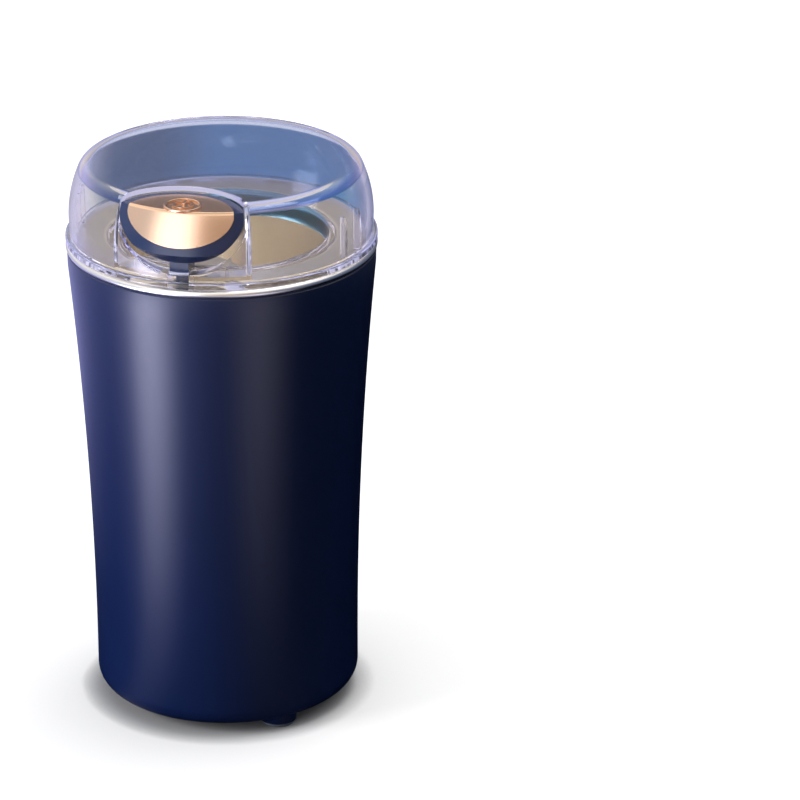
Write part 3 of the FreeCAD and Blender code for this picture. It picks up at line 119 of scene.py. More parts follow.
def lathe(name, corners, centre=(0.0, 0.0), segments=ROUND):
    """Closed profile of (radius, height) turned about an upright axis."""
    def fill(made):
        rings = []
        for radius, height in corners:
            count = 1 if radius < 1e-6 else segments
            ring = []
            for step in range(count):
                angle = 2 * math.pi * step / segments
                spot = (centre[0] + radius * math.cos(angle), centre[1] + radius * math.sin(angle),
                        height)
                ring.append(made.verts.new(Vector(spot) * MM))
            rings.append(ring)
        for first, second in zip(rings, rings[1:] + rings[:1]):
            flat = abs(first[0].co.z - second[0].co.z) < 1e-9
            if flat and min(len(first), len(second)) == 1:
                made.faces.new(first if len(first) > 1 else second)
                continue
            for step in range(segments):
                after = (step + 1) % segments
                if len(first) == 1 and len(second) == 1:
                    continue
                if len(first) == 1:
                    made.faces.new((first[0], second[after], second[step]))
                elif len(second) == 1:
                    made.faces.new((first[step], first[after], second[0]))
                else:
                    made.faces.new((first[step], first[after], second[after], second[step]))
    return mesh_object(name, fill)


def prism(name, outline, low, high, along="z"):
    """Outline pushed between two levels along an axis. Along y the outline is (x, z)."""
    def place(spot, level):
        across, up = spot
        return Vector((across, up, level) if along == "z" else (across, level, up)) * MM

    def fill(made):
        bottom = [made.verts.new(place(spot, low)) for spot in outline]
        top = [made.verts.new(place(spot, high)) for spot in outline]
        made.faces.new(bottom)
        made.faces.new(top)
        for index in range(len(outline)):
            after = (index + 1) % len(outline)
            made.faces.new((bottom[index], bottom[after], top[after], top[index]))
    return mesh_object(name, fill)


def skin(made, rings):
    """Closed surface through rings of as many points each."""
    made.faces.new(rings[0])
    made.faces.new(rings[-1])
    for first, second in zip(rings, rings[1:]):
        for step in range(len(first)):
            after = (step + 1) % len(first)
            made.faces.new((first[step], first[after], second[after], second[step]))


def loft(name, sections):
    """Solid through ellipses across the Y axis: (y, half width, half height, centre height)."""
    count = OUTLINE_STEPS

    def fill(made):
        rings = []
        for level, half_width, half_height, centre in sections:
            ring = []
            for step in range(count):
                angle = 2 * math.pi * step / count
                spot = (half_width * math.cos(angle), level, centre + half_height * math.sin(angle))
                ring.append(made.verts.new(Vector(spot) * MM))
            rings.append(ring)
        skin(made, rings)
    return mesh_object(name, fill)


def disc(radius, across=0.0, along=0.0, count=OUTLINE_STEPS):
    return bend(across, along, radius, 0, 360 - 360 / count, count - 1)


def wedge(near, far, turn, half_turn):
    """Outline between two radii, counted in degrees from the front towards +X."""
    corners = [(near, turn - half_turn), (far, turn - half_turn),
               (far, turn + half_turn), (near, turn + half_turn)]
    return [(reach * math.sin(math.radians(angle)), -reach * math.cos(math.radians(angle)))
            for reach, angle in corners]


def box(left, right, low, high):
    return [(left, low), (right, low), (right, high), (left, high)]


def settle(piece):
    """Applies the piece's modifiers to its mesh."""
    graph = bpy.context.evaluated_depsgraph_get()
    fresh = bpy.data.meshes.new_from_object(piece.evaluated_get(graph))
    piece.modifiers.clear()
    piece.data = fresh


def combine(piece, tool, operation):
    """Joins, cuts or intersects the piece with a tool, which is used up."""
    change = piece.modifiers.new("change", "BOOLEAN")
    change.operation = operation
    change.solver = "EXACT"
    change.object = tool
    settle(piece)
    bpy.data.objects.remove(tool)


def soften(piece, width, angle=30.0, segments=2):
    """Rounds the sharp edges and shades the rest smooth."""
    made = bmesh.new()
    made.from_mesh(piece.data)
    bmesh.ops.remove_doubles(made, verts=made.verts, dist=2e-6)
    made.to_mesh(piece.data)
    made.free()
    if width:
        edges = piece.modifiers.new("edges", "BEVEL")
        edges.width = width * MM
        edges.segments = segments
        edges.limit_method = "ANGLE"
        edges.angle_limit = math.radians(angle)
        edges.harden_normals = False
        settle(piece)
    piece.data.shade_smooth()
    piece.data.set_sharp_from_angle(angle=math.radians(angle))
    flat = piece.modifiers.new("flat", "WEIGHTED_NORMAL")
    flat.keep_sharp = True
    settle(piece)


# Materials

def link(tree, source, target):
    tree.links.new(source, target)


def new_material(name):
    material = bpy.data.materials.new(name)
    material.use_nodes = True
    tree = material.node_tree
    return material, tree, tree.nodes["Principled BSDF"]


def noise(tree, scale, detail=2.0, stretch=(1, 1, 1)):
    place = tree.nodes.new("ShaderNodeTexCoord")
    mapping = tree.nodes.new("ShaderNodeMapping")
    mapping.inputs["Scale"].default_value = stretch
    grain = tree.nodes.new("ShaderNodeTexNoise")
    grain.inputs["Scale"].default_value = scale
    grain.inputs["Detail"].default_value = detail
    link(tree, place.outputs["Object"], mapping.inputs["Vector"])
    link(tree, mapping.outputs["Vector"], grain.inputs["Vector"])
    return grain


def ramp(tree, source, stops):
    made = tree.nodes.new("ShaderNodeValToRGB")
    while len(made.color_ramp.elements) < len(stops):
        made.color_ramp.elements.new(0.5)
    for element, (place, colour) in zip(made.color_ramp.elements, stops):
        element.position = place
        element.color = (*colour, 1)
    link(tree, source, made.inputs["Fac"])
    return made


def spread(tree, source, low, high):
    made = tree.nodes.new("ShaderNodeMapRange")
    made.inputs["To Min"].default_value = low
    made.inputs["To Max"].default_value = high
    link(tree, source, made.inputs["Value"])
    return made


def bump(tree, shader, source, strength, distance):
    made = tree.nodes.new("ShaderNodeBump")
    made.inputs["Strength"].default_value = strength
    made.inputs["Distance"].default_value = distance
    link(tree, source, made.inputs["Height"])
    link(tree, made.outputs["Normal"], shader.inputs["Normal"])


def finish(name, colour, roughness, metallic=0.0, scale=900.0, depth=0.00002, vary=0.12,
           stretch=(1, 1, 1), coat=0.0):
    """Moulded or metal finish: fine grain in the bump, slow change of colour and gloss over the surface."""
    material, tree, shader = new_material(name)
    slow = noise(tree, 35.0, 3.0)
    dark = tuple(part * (1 - vary) for part in colour)
    light = tuple(min(1.0, part * (1 + vary)) for part in colour)
    tone = ramp(tree, slow.outputs["Fac"], [(0.3, dark), (0.7, light)])
    link(tree, tone.outputs["Color"], shader.inputs["Base Color"])
    fine = noise(tree, scale, 2.0, stretch)
    gloss = spread(tree, fine.outputs["Fac"], roughness * 0.85, roughness * 1.15)
    link(tree, gloss.outputs["Result"], shader.inputs["Roughness"])
    bump(tree, shader, fine.outputs["Fac"], 0.5, depth)
    shader.inputs["Metallic"].default_value = metallic
    shader.inputs["Coat Weight"].default_value = coat
    shader.inputs["Coat Roughness"].default_value = 0.1
    return material


def arithmetic(tree, operation, first, second):
    """Math node between sockets or plain numbers."""
    made = tree.nodes.new("ShaderNodeMath")
    made.operation = operation
    for index, source in enumerate((first, second)):
        if isinstance(source, (int, float)):
            made.inputs[index].default_value = source
        else:
            link(tree, source, made.inputs[index])
    return made.outputs["Value"]


def ranged(tree, source, start, end):
    """0 below start, 1 above end, and smooth between them."""
    made = tree.nodes.new("ShaderNodeMapRange")
    made.interpolation_type = "SMOOTHSTEP"
    made.inputs["From Min"].default_value = start
    made.inputs["From Max"].default_value = end
    link(tree, source, made.inputs["Value"])
    return made.outputs["Result"]


def mixed(tree, factor, first, second, kind="MIX"):
    """Colour mix between sockets or plain colours."""
    made = tree.nodes.new("ShaderNodeMix")
    made.data_type = "RGBA"
    made.blend_type = kind
    made.clamp_factor = True
    for name, source in (("Factor", factor), ("A", first), ("B", second)):
        if isinstance(source, tuple):
            made.inputs[6 if name == "A" else 7].default_value = (*source, 1)
        elif isinstance(source, (int, float)):
            made.inputs[0].default_value = source
        else:
            link(tree, source, made.inputs[{"Factor": 0, "A": 6, "B": 7}[name]])
    return made.outputs[2]


def parted(tree, kind):
    """X, Y and Z of one kind of texture coordinate."""
    place = tree.nodes.new("ShaderNodeTexCoord")
    split = tree.nodes.new("ShaderNodeSeparateXYZ")
    link(tree, place.outputs[kind], split.inputs["Vector"])
    return split.outputs


def length(tree, vector):
    made = tree.nodes.new("ShaderNodeVectorMath")
    made.operation = "LENGTH"
    link(tree, vector, made.inputs[0])
    return made.outputs["Value"]


def azimuth(tree, spot):
    """Angle round the axis as a share of a turn, 0.5 at the front and growing towards +X."""
    angle = arithmetic(tree, "ARCTAN2", spot["X"], arithmetic(tree, "MULTIPLY", spot["Y"], -1.0))
    return arithmetic(tree, "ADD", arithmetic(tree, "DIVIDE", angle, 2 * math.pi), 0.5)


def sheltered(tree, distance, power):
    """How open a point is to what stands near it, from 0 to 1."""
    corner = tree.nodes.new("ShaderNodeAmbientOcclusion")
    corner.inputs["Distance"].default_value = distance
    corner.samples = 8
    return arithmetic(tree, "POWER", corner.outputs["AO"], power)


def clear_plastic():
    """Clear moulded plastic with a blue cast: violet round the rim, a painted deep blue reflection in the
    wall behind the bowl, and almost neutral in the wall beside the button."""
    material, tree, shader = new_material("clear_moulded_plastic")
    shader.inputs["Transmission Weight"].default_value = 1.0
    shader.inputs["IOR"].default_value = 1.47
    spot = parted(tree, "Object")
    slope = arithmetic(tree, "ABSOLUTE", parted(tree, "Normal")["Z"], 0.0)
    rim = ramp(tree, slope, [
        (0.0, (0.97, 0.95, 0.92)), (0.40, (0.95, 0.94, 0.94)), (0.44, (0.30, 0.42, 0.66)),
        (0.52, (0.50, 0.50, 0.86)), (0.80, (0.62, 0.62, 0.92)), (0.93, (0.80, 0.84, 0.98)),
        (1.0, (0.74, 0.83, 0.93))])
    behind = ranged(tree, spot["Y"], -0.010, 0.022)
    upright = arithmetic(tree, "SUBTRACT", 1.0, ranged(tree, slope, 0.40, 0.55))
    corner = mixed(tree, arithmetic(tree, "MULTIPLY", behind, ranged(tree, slope, 0.45, 0.60)),
                   rim.outputs["Color"], (0.90, 0.90, 1.0))
    top = ranged(tree, slope, 0.97, 0.995)
    corner = mixed(tree, top, corner, (0.74, 0.83, 0.93))
    # The wall behind the bowl, below the top, is painted deep blue by position and deeper towards the left:
    # a painted reflection, not a tint of the plastic.
    below = arithmetic(tree, "SUBTRACT", 1.0, ranged(tree, spot["Z"], 0.1784, 0.1792))
    painted_reflection_mask = arithmetic(tree, "MULTIPLY", arithmetic(tree, "MULTIPLY", behind, upright), below)
    leftward = ranged(tree, spot["X"], -0.012, -0.034)
    blue = mixed(tree, leftward, (0.045, 0.18, 0.38), (0.02, 0.08, 0.19))
    wall = mixed(tree, painted_reflection_mask, corner, blue)
    low_angle = tree.nodes.new("ShaderNodeLayerWeight")
    low_angle.inputs["Blend"].default_value = 0.5
    edge = ramp(tree, low_angle.outputs["Facing"], [
        (0.0, (1, 1, 1)), (0.45, (0.97, 0.97, 1.0)), (0.66, (0.72, 0.70, 0.96)), (0.88, (0.46, 0.45, 0.84)),
        (1.0, (0.30, 0.34, 0.66))])
    tint = mixed(tree, 1.0, wall, edge.outputs["Color"], "MULTIPLY")
    # What the steel under it mirrors comes through without the cast.
    path = tree.nodes.new("ShaderNodeLightPath")
    mirrored = arithmetic(tree, "GREATER_THAN", path.outputs["Glossy Depth"], 0.5)
    link(tree, mixed(tree, mirrored, tint, (0.97, 0.95, 0.91)), shader.inputs["Base Color"])
    # Deep light paths between the walls glow pale violet by emission: a painted glow standing in for light
    # caught there, with painted glints in the lower part and an even glow above.
    deep = arithmetic(tree, "MAXIMUM",
                      arithmetic(tree, "GREATER_THAN", path.outputs["Transmission Depth"], 7.5),
                      arithmetic(tree, "GREATER_THAN", path.outputs["Glossy Depth"], 3.5))
    shader.inputs["Emission Color"].default_value = (0.70, 0.69, 0.95, 1)
    glints = noise(tree, 260.0, 2.0, (1, 1, 0.35))
    glint = spread(tree, ranged(tree, glints.outputs["Fac"], 0.44, 0.58), 0.06, 0.75)
    steady = ranged(tree, spot["Z"], 0.174, 0.178)
    glow = mixed(tree, steady, glint.outputs["Result"], (0.42, 0.42, 0.42))
    link(tree, arithmetic(tree, "MULTIPLY", deep, glow), shader.inputs["Emission Strength"])
    slow = noise(tree, 20.0, 2.0)
    gloss = spread(tree, slow.outputs["Fac"], 0.0, 0.02)
    link(tree, gloss.outputs["Result"], shader.inputs["Roughness"])
    bump(tree, shader, slow.outputs["Fac"], 0.25, 0.0004)
    return material


def silicone():
    material, tree, shader = new_material("translucent_silicone")
    grain = noise(tree, 400.0)
    tone = ramp(tree, grain.outputs["Fac"], [(0.3, (0.55, 0.65, 0.8)), (0.7, (0.68, 0.76, 0.9))])
    link(tree, tone.outputs["Color"], shader.inputs["Base Color"])
    shader.inputs["Transmission Weight"].default_value = 0.7
    shader.inputs["Roughness"].default_value = 0.35
    bump(tree, shader, grain.outputs["Fac"], 0.4, 0.00003)
    return material


def drawn_steel():
    """Bowl with the marks of the turning tool, satin inside. Its colour by radius is painted light and
    shade: a warm bright inside, a painted shade on the flange and a painted highlight on the bead.
    """
    material = finish("drawn_steel", (0.82, 0.80, 0.76), 0.22, 1.0, 500.0, 0.000003, 0.04, (1, 1, 14))
    tree = material.node_tree
    shader = tree.nodes["Principled BSDF"]
    spot = parted(tree, "Object")
    plan = tree.nodes.new("ShaderNodeCombineXYZ")
    link(tree, spot["X"], plan.inputs["X"])
    link(tree, spot["Y"], plan.inputs["Y"])
    reach = length(tree, plan.outputs["Vector"])
    outside = ranged(tree, reach, 0.0374, 0.0382)
    bead = ranged(tree, reach, 0.0478, 0.0486)
    # Painted light and shade by radius: warm and bright inside, darker on the flange, bright on the bead.
    tone = mixed(tree, outside, (0.97, 0.90, 0.78), (0.68, 0.65, 0.62))
    link(tree, mixed(tree, bead, tone, (0.90, 0.89, 0.90)), shader.inputs["Base Color"])
    link(tree, spread(tree, outside, 0.42, 0.30).outputs["Result"], shader.inputs["Roughness"])
    return material


LOOKS = {
    "navy_plastic": finish("satin_navy", (0.0042, 0.0135, 0.070), 0.30, depth=0.00001, vary=0.06),
    "navy_trim": finish("gloss_navy", (0.006, 0.022, 0.095), 0.22, depth=0.000005, coat=0.3),
    "rose_gold": finish("brushed_rose_gold", (0.83, 0.56, 0.40), 0.24, 1.0, 700.0, 0.000004, 0.05,
                        (1, 1, 12)),
    "steel": finish("polished_steel", (0.82, 0.81, 0.77), 0.22, 1.0, 500.0, 0.000003, 0.04, (1, 1, 14)),
    "bowl_steel": drawn_steel(),
    "screw_steel": finish("zinc_steel", (0.62, 0.63, 0.66), 0.3, 1.0, 600.0, 0.000004),
    "black_rubber": finish("black_rubber", (0.012, 0.012, 0.013), 0.6),
    "dark_plastic": finish("dark_moulded_plastic", (0.03, 0.03, 0.035), 0.5),
    "core_steel": finish("laminated_steel", (0.3, 0.3, 0.32), 0.4, 1.0, 300.0, 0.00002, 0.1, (1, 1, 30)),
    "copper": finish("enamelled_copper", (0.72, 0.35, 0.16), 0.3, 1.0, 300.0, 0.00003, 0.15, (1, 1, 20)),
    "bronze": finish("sintered_bronze", (0.66, 0.47, 0.24), 0.4, 1.0),
    "carbon": finish("graphite", (0.04, 0.04, 0.042), 0.45),
    "foot_rubber": silicone(),
    "clear_plastic": clear_plastic(),
}
SLOT_OF = {part["node"]: part["material_slot"] for part in frame["record"]["subparts"]}


def dress(piece, slot):
    piece.data.materials.clear()
    piece.data.materials.append(LOOKS[slot])


def stand_for(piece, body, slot, *nodes):
    dress(piece, slot)
    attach(piece, body)
    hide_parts(*nodes)


# Pieces

def make_housing():
    outer = [(flare(height), height) for height in range(15, 155, 5)]
    inner = [(flare(height, 2.4), height) for height in range(155, 14, -5)]
    corners = [(28.7, 3.0)] + bend(37.1, 9.0, 6.0, -90, 0) + outer + [(49.6, 154.6), (49.2, 155.0)]
    corners += inner + bend(37.1, 9.6, 3.6, 0, -90)
    corners += [(26.0, 6.0), (26.0, 4.6), (28.7, 4.6)]
    piece = lathe("housing_shell", corners)
    for turn in FOOT_TURNS:
        place = (FOOT_CIRCLE * math.sin(math.radians(turn)), -FOOT_CIRCLE * math.cos(math.radians(turn)))
        combine(piece, prism("boss", disc(6.0, *place, 64), 1.5, 7.2), "UNION")
        combine(piece, prism("hole", disc(2.65, *place, 48), 0.0, 9.0), "DIFFERENCE")
    hole = prism("cord_hole", disc(4.95, 0.0, CORD_HEIGHT, 64), 33.0, 50.0, "y")
    combine(piece, hole, "DIFFERENCE")
    soften(piece, 0, 28)
    stand_for(piece, "housing", "navy_plastic", "housing")


def make_bowl():
    corners = [(6.2, 108.0)] + bend(30.8, 114.7, 6.7, -90, 0)
    corners += [(37.5, 157.0), (47.3, 157.0), (47.3, 155.0)]
    corners += bend(48.7, 156.3, 1.3, -90, 0, 8) + bend(48.7, 156.4, 1.3, 0, 90, 8)
    corners += bend(37.5, 157.0, 0.7, 90, 180, 6) + bend(30.8, 114.7, 6.0, 0, -90) + [(6.2, 108.7)]
    piece = lathe("steel_bowl", corners)
    combine(piece, prism("hole", disc(2.9, 0.0, -ROD_CIRCLE, 48), 150.0, 160.0), "DIFFERENCE")
    soften(piece, 0, 28)
    stand_for(piece, "housing", "steel", "bowl")
    piece.data.materials[0] = LOOKS["bowl_steel"]


def lid_envelope(name, proud, top, edge=0.0):
    """Solid column with the lid's side as its own side, and its top edge rounded."""
    side = [(LID_WALL - 0.2 + proud, 150.0), (LID_WALL - 0.2 + proud, LID_STEP)]
    reach = math.asin((top - 0.6 * edge - SHOULDER) / SHOULDER_RADIUS)
    side += bend(LID_WALL - SHOULDER_RADIUS + proud, SHOULDER, SHOULDER_RADIUS, 0, math.degrees(reach))
    if edge:
        across = side[-1][0] - edge * math.cos(reach)
        side += bend(across, top - edge, edge, math.degrees(reach), 90, 5)[1:]
    return lathe(name, [(0.0, 150.0)] + side + [(0.0, top)])


def column_at_button(name, radius, centre, low=150.0, high=200.0):
    return prism(name, disc(radius, 0.0, -centre), low, high)


def make_lid():
    corners = [(34.6, 153.1), (35.0, 152.7), (36.0, 152.7), (36.4, 153.1), (36.4, LID_BOTTOM)]
    corners += bend(49.5, 158.4, 0.5, -90, 0, 4) + bend(49.5, 159.6, 0.5, 0, 90, 4) + [(48.6, LID_STEP)]
    corners += bend(SHOULDER_CENTRE, SHOULDER, SHOULDER_RADIUS, 0, 23.77, 16)
    corners += bend(41.459, 179.5, 4.5, 23.77, 90, 10)[1:]
    corners += [(41.0, LID_TOP), (0.0, LID_TOP), (0.0, 182.0), (40.7, 182.0)]
    corners += bend(41.132, 179.0, 3.0, 90, 23.2, 8)
    corners += bend(SHOULDER_CENTRE, SHOULDER, 36.0, 23.2, 0, 16)[1:]
    corners += [(46.6, LID_STEP), (34.6, LID_STEP)]
    piece = lathe("clear_lid", corners)
    wall = prism("wall", disc(23.3, 0.0, -LID_WALL), 159.0, 183.5)
    combine(wall, column_at_button("bore", POCKET_RADIUS, LID_WALL), "DIFFERENCE")
    floor = column_at_button("floor", 22.5, LID_WALL, 159.0, 161.6)
    collar = loft("collar", [(-60.0, 22.1, 17.1, COLLAR_CENTRE), (-43.8, 22.1, 17.1, COLLAR_CENTRE)])
    bore = loft("bore", [(-61.0, 20.9, 15.9, COLLAR_CENTRE), (-40.0, 20.9, 15.9, COLLAR_CENTRE)])
    combine(collar, bore, "DIFFERENCE")
    gussets = [
        prism("gusset", box(place - 0.5, place + 0.5, LID_STEP - 0.5, 167.6), -LID_WALL, -43.8, "y")
        for place in (-18.2, -15.0, 15.0, 18.2)]
    for part in (wall, floor, collar, *gussets):
        combine(part, lid_envelope("trim", -0.02, 183.5), "INTERSECT")
        combine(piece, part, "UNION")
    for turn in (72, 83, 277, 288):
        combine(piece, prism("rib", wedge(45.0, 47.6, turn, 0.75), LID_STEP - 0.5, 173.1), "UNION")
    room = loft("room", [(-70.0, 20.9, 15.9, COLLAR_CENTRE), (-26.1, 20.9, 15.9, COLLAR_CENTRE)])
    combine(room, prism("above", box(-20.9, 20.9, COLLAR_CENTRE, 200.0), -70.0, -26.1, "y"), "UNION")
    combine(room, column_at_button("trim", POCKET_RADIUS, LID_WALL), "INTERSECT")
    combine(piece, room, "DIFFERENCE")
    combine(piece, prism("slot", box(-3.4, 3.4, -46.1, -39.0), 150.0, 164.6), "DIFFERENCE")
    soften(piece, 0, 28)
    stand_for(piece, "lid", "clear_plastic", "lid_shell")


def button_block(name, sections, radius, centre, proud, top, edge=0.0):
    piece = loft(name, sections)
    combine(piece, column_at_button("plan", radius, centre), "INTERSECT")
    combine(piece, lid_envelope("side", proud, top, edge), "INTERSECT")
    return piece


def make_button():
    sections = [(BUTTON_FRONT, 20.5, 5.1, FRAME_CENTRE), (-46.6, 20.5, 15.5, FRAME_CENTRE),
                (BUTTON_BACK, 20.5, 15.5, FRAME_CENTRE)]
    piece = button_block("button_surround", sections, FRAME_RADIUS, LID_WALL, 0.4, 182.0)
    room = loft("room", [
        (BUTTON_FRONT, 17.35, 9.95, FRAME_CENTRE), (BUTTON_BACK, 17.35, 9.95, FRAME_CENTRE)])
    combine(room, column_at_button("plan", CAP_RADIUS + 0.05, CAP_CENTRE), "INTERSECT")
    combine(piece, room, "DIFFERENCE")
    well = prism("well", disc(3.1, 0.0, BUTTON_SPRING_PLACE, 48), 160.0, 169.8)
    combine(piece, well, "DIFFERENCE")
    combine(piece, prism("stem", box(-3.1, 3.1, -45.8, -39.3), 161.2, 168.6), "UNION")
    tip = prism("tip", box(-2.0, 2.0, -ROD_CIRCLE - 1.2, 1.2 - ROD_CIRCLE), LID_BOTTOM, 162.2)
    combine(piece, tip, "UNION")
    soften(piece, 0.25, 30)
    stand_for(piece, "button", "navy_trim", "button_frame")
    sections = [(BUTTON_FRONT, 17.3, 9.9, FRAME_CENTRE), (BUTTON_BACK, 17.3, 9.9, FRAME_CENTRE)]
    cap = button_block("button_plate", sections, CAP_RADIUS, CAP_CENTRE, 0.6, 182.3, 1.3)
    soften(cap, 0.3, 30, 3)
    stand_for(cap, "button", "rose_gold", "button_cap")
    make_switch_mark()


def make_switch_mark():
    """Raised ring with the common on and off sign, an open circle and a bar, on top of the cap."""
    middle, low, high = -40.6, 182.2, 182.95
    profile = [(5.0, low), (6.0, low)] + bend(5.8, high - 0.2, 0.2, 0, 90, 4)
    profile += bend(5.2, high - 0.2, 0.2, 90, 180, 4)
    mark = lathe("switch_mark", profile, (0.0, middle), 96)
    circle = bend(0.0, middle, 3.4, 110, 430, 64) + bend(0.0, middle, 2.5, 70, -250, 64)
    combine(mark, prism("circle", circle, low, high), "UNION")
    combine(mark, prism("bar", box(-0.45, 0.45, middle + 0.4, middle + 3.8), low, high), "UNION")
    soften(mark, 0.12, 40)
    dress(mark, "rose_gold")
    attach(mark, "button")


def make_spring(name, node, body, along, turns):
    """Wound spring in its node's place."""
    low, high = (corner[2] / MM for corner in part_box(node))
    wire, sides, steps_a_turn = SPRING_WIRE, 10, 32
    steps = steps_a_turn * turns

    def fill(made):
        rings = []
        for step in range(steps + 1):
            angle = 2 * math.pi * step / steps_a_turn
            height = low + wire + (high - low - 2 * wire) * step / steps
            ring = []
            for side in range(sides):
                lean = 2 * math.pi * side / sides
                reach = SPRING_RADIUS + wire * math.cos(lean)
                spot = (reach * math.cos(angle), along + reach * math.sin(angle),
                        height + wire * math.sin(lean))
                ring.append(made.verts.new(Vector(spot) * MM))
            rings.append(ring)
        skin(made, rings)

    piece = mesh_object(name, fill)
    piece.data.shade_smooth()
    stand_for(piece, body, SLOT_OF[node], node)
    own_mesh(piece)


def make_cad_finishes():
    """The pieces whose solids are right keep them, and get their finish."""
    for name, piece in frame["nodes"].items():
        if not piece.hide_render:
            dress(piece, SLOT_OF[name])


def ray_kinds(tree):
    """Rays that see the plain white background, straight or through clear plastic; mirrored ones; and
    mirrored ones that come out through the plastic."""
    path = tree.nodes.new("ShaderNodeLightPath")
    mirrored = arithmetic(tree, "GREATER_THAN", path.outputs["Glossy Depth"], 0.5)
    through = path.outputs["Is Transmission Ray"]
    seen = arithmetic(tree, "MAXIMUM", path.outputs["Is Camera Ray"],
                      arithmetic(tree, "SUBTRACT", through, mirrored))
    straight = arithmetic(tree, "SUBTRACT", 1.0, path.outputs["Is Diffuse Ray"])
    glossy = arithmetic(tree, "MULTIPLY", mirrored, straight)
    return seen, glossy, arithmetic(tree, "MULTIPLY", mirrored, through)


def make_stage():
    """Pale floor. It shows white with a painted shadow where the object stands, and to glossy pieces it
    shows a painted bright strip at the left of the front.
    """
    floor = mesh_object("floor", lambda made: bmesh.ops.create_grid(
        made, x_segments=1, y_segments=1, size=6.0))
    material, tree, shader = new_material("white_sweep")
    out = tree.nodes["Material Output"]
    shader.inputs["Base Color"].default_value = (0.5, 0.5, 0.5, 1)
    shader.inputs["Roughness"].default_value = 0.9
    seen, glossy, inside = ray_kinds(tree)
    spot = parted(tree, "Object")
    # A painted shadow: the floor's white glow is darkened near the object, deeper at its left by position,
    # with a wide pale one round it.
    depth = spread(tree, ranged(tree, spot["X"], -0.07, 0.05), 3.6, 1.6)
    painted_floor_shadow = arithmetic(tree, "MULTIPLY", sheltered(tree, 0.009, depth.outputs["Result"]),
                        sheltered(tree, 0.13, 0.9))
    glow = tree.nodes.new("ShaderNodeEmission")
    link(tree, arithmetic(tree, "MULTIPLY", arithmetic(tree, "MULTIPLY", seen, painted_floor_shadow), 0.88),
         glow.inputs["Strength"])
    both = tree.nodes.new("ShaderNodeAddShader")
    link(tree, shader.outputs["BSDF"], both.inputs[0])
    link(tree, glow.outputs["Emission"], both.inputs[1])
    turn = azimuth(tree, spot)
    # Painted reflections for mirrored rays: a bright strip and darker bands by angle round the axis,
    # stronger further out.
    near = ramp(tree, turn, [
        (0.0, (0.03, 0.03, 0.06)), (0.14, (0.05, 0.05, 0.10)), (0.29, (0.03, 0.03, 0.06)),
        (0.345, (0.12, 0.12, 0.18)), (0.38, (0.92, 0.90, 1.15)), (0.405, (0.92, 0.90, 1.15)),
        (0.455, (0.06, 0.06, 0.09)), (0.55, (0.02, 0.02, 0.03)), (0.615, (0.15, 0.14, 0.17)),
        (0.69, (0.0, 0.0, 0.0)), (1.0, (0.0, 0.0, 0.0))])
    # Beyond it, the painted reflections that the steel bead and the cap show
    beyond = ramp(tree, turn, [
        (0.0, (0.35, 0.33, 0.40)), (0.25, (0.7, 0.68, 0.75)), (0.36, (0.6, 0.62, 0.66)),
        (0.395, (0.62, 0.68, 0.74)), (0.42, (2.4, 2.4, 2.5)), (0.475, (2.4, 2.4, 2.5)),
        (0.505, (0.60, 0.50, 0.42)), (0.57, (0.56, 0.46, 0.38)), (0.64, (0.16, 0.17, 0.2)),
        (0.75, (0.08, 0.11, 0.17)), (1.0, (0.12, 0.13, 0.18))])
    reach = length(tree, tree.nodes.new("ShaderNodeTexCoord").outputs["Object"])
    power = ramp(tree, reach, [
        (0.04, (0.1,) * 3), (0.12, (0.6,) * 3), (0.22, (4.0,) * 3), (0.32, (12.0,) * 3),
        (0.42, (15.0,) * 3)])
    painted_strip_reflection = mixed(tree, 1.0, near.outputs["Color"], power.outputs["Color"], "MULTIPLY")
    painted_strip_reflection = mixed(tree, ranged(tree, reach, 0.41, 0.45), painted_strip_reflection, beyond.outputs["Color"])
    # Mirrored rays that come out through the clear plastic see a painted pale violet.
    painted_strip_reflection = mixed(tree, inside, painted_strip_reflection, (0.75, 0.74, 0.86))
    shine = tree.nodes.new("ShaderNodeEmission")
    link(tree, painted_strip_reflection, shine.inputs["Color"])
    chosen = tree.nodes.new("ShaderNodeMixShader")
    link(tree, glossy, chosen.inputs["Fac"])
    link(tree, both.outputs["Shader"], chosen.inputs[1])
    link(tree, shine.outputs["Emission"], chosen.inputs[2])
    link(tree, chosen.outputs["Shader"], out.inputs["Surface"])
    floor.data.materials.append(material)


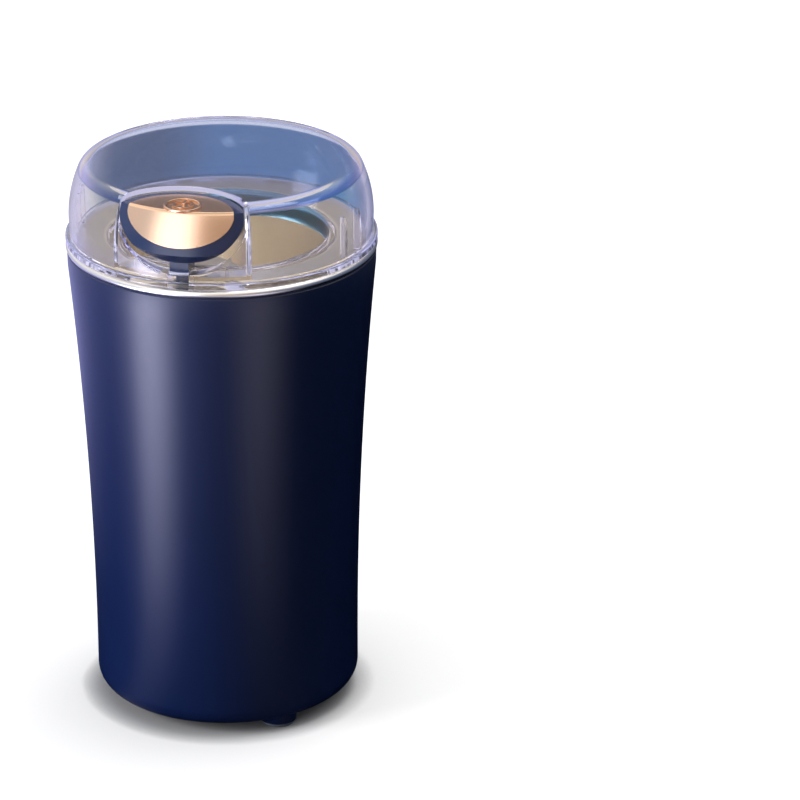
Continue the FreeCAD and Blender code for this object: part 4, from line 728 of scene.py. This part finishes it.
def make_world():
    world = bpy.data.worlds.new("studio")
    bpy.context.scene.world = world
    world.use_nodes = True
    tree = world.node_tree
    back = tree.nodes["Background"]
    seen, glossy, inside = ray_kinds(tree)
    spot = parted(tree, "Generated")
    # Mirrored rays see painted reflections that nothing else sees: pale screens at the left and in front, a
    # dark wall at the right and behind, and a pale ceiling.
    walls = ramp(tree, azimuth(tree, spot), [
        (0.0, (0.14, 0.14, 0.18)), (0.06, (0.15, 0.15, 0.20)), (0.10, (0.9, 0.9, 0.95)),
        (0.36, (0.80, 0.82, 0.88)), (0.395, (0.60, 0.67, 0.74)), (0.42, (2.4, 2.4, 2.5)),
        (0.475, (2.4, 2.4, 2.5)), (0.505, (0.60, 0.50, 0.42)), (0.57, (0.56, 0.46, 0.38)),
        (0.66, (0.20, 0.22, 0.30)), (0.8, (0.12, 0.16, 0.26)), (1.0, (0.18, 0.18, 0.22))])
    ceiling = ramp(tree, spot["Z"], [
        (0.6, (1.4, 1.35, 1.25)), (0.85, (1.2, 1.15, 1.05)), (1.0, (0.7, 0.68, 0.64))])
    room = mixed(tree, ranged(tree, spot["Z"], 0.46, 0.62), walls.outputs["Color"],
                 ceiling.outputs["Color"])
    # Mirrored rays that come out through the clear plastic see painted warm reflections, which make the
    # bowl's inside look beige.
    warm = ramp(tree, spot["Z"], [
        (0.0, (0.95, 0.84, 0.68)), (0.30, (0.66, 0.58, 0.48)), (0.42, (0.66, 0.58, 0.48)),
        (0.6, (0.90, 0.84, 0.76)), (0.85, (0.62, 0.60, 0.58)), (1.0, (0.50, 0.50, 0.50))])
    plain = mixed(tree, glossy, (0.10, 0.105, 0.12), room)
    plain = mixed(tree, inside, plain, warm.outputs["Color"])
    link(tree, mixed(tree, seen, plain, (1.0, 1.0, 1.0)), back.inputs["Color"])


def lamp(name, place, aim, width, height, power, colour=(1, 1, 1)):
    light = bpy.data.lights.new(name, "AREA")
    light.shape = "RECTANGLE"
    light.size = width
    light.size_y = height
    light.energy = power
    light.color = colour
    lamp_object = bpy.data.objects.new(name, light)
    lamp_object.location = place
    lamp_object.rotation_euler = (Vector(aim) - Vector(place)).to_track_quat("-Z", "Y").to_euler()
    bpy.context.scene.collection.objects.link(lamp_object)
    return lamp_object


def make_lamps():
    target = (0, 0, 0.1)
    key = lamp("key_softbox", (-1.1, -0.75, 0.5), target, 0.5, 1.0, 20.0, (0.97, 0.97, 1.0))
    key.visible_glossy = False
    top = lamp("top_softbox", (0.2, 0.3, 1.4), target, 0.7, 0.7, 9.0)
    top.visible_glossy = False


def make_camera():
    turn = math.radians(CAMERA_TURN)
    tilt = math.radians(CAMERA_TILT)
    camera = bpy.data.cameras.new("camera")
    camera.sensor_width = 36.0
    camera.lens = FOCAL_PIXELS / PHOTO_WIDTH * camera.sensor_width
    camera.clip_start = 0.05
    camera.clip_end = 30.0
    holder = bpy.data.objects.new("camera", camera)
    holder.location = Matrix.Rotation(turn, 3, "Z") @ Vector(CAMERA_PLACE)
    holder.rotation_euler = (math.pi / 2 - tilt, 0.0, turn)
    bpy.context.scene.collection.objects.link(holder)
    bpy.context.scene.camera = holder


make_camera()
make_housing()
make_bowl()
make_lid()
make_button()
make_spring("button_return_spring", "button_spring", "lid", BUTTON_SPRING_PLACE, 4)
make_spring("rod_return_spring", "rod_spring", "housing", -ROD_CIRCLE, 8)
make_cad_finishes()
make_stage()
make_world()
make_lamps()
bpy.context.scene.view_settings.view_transform = "Standard"
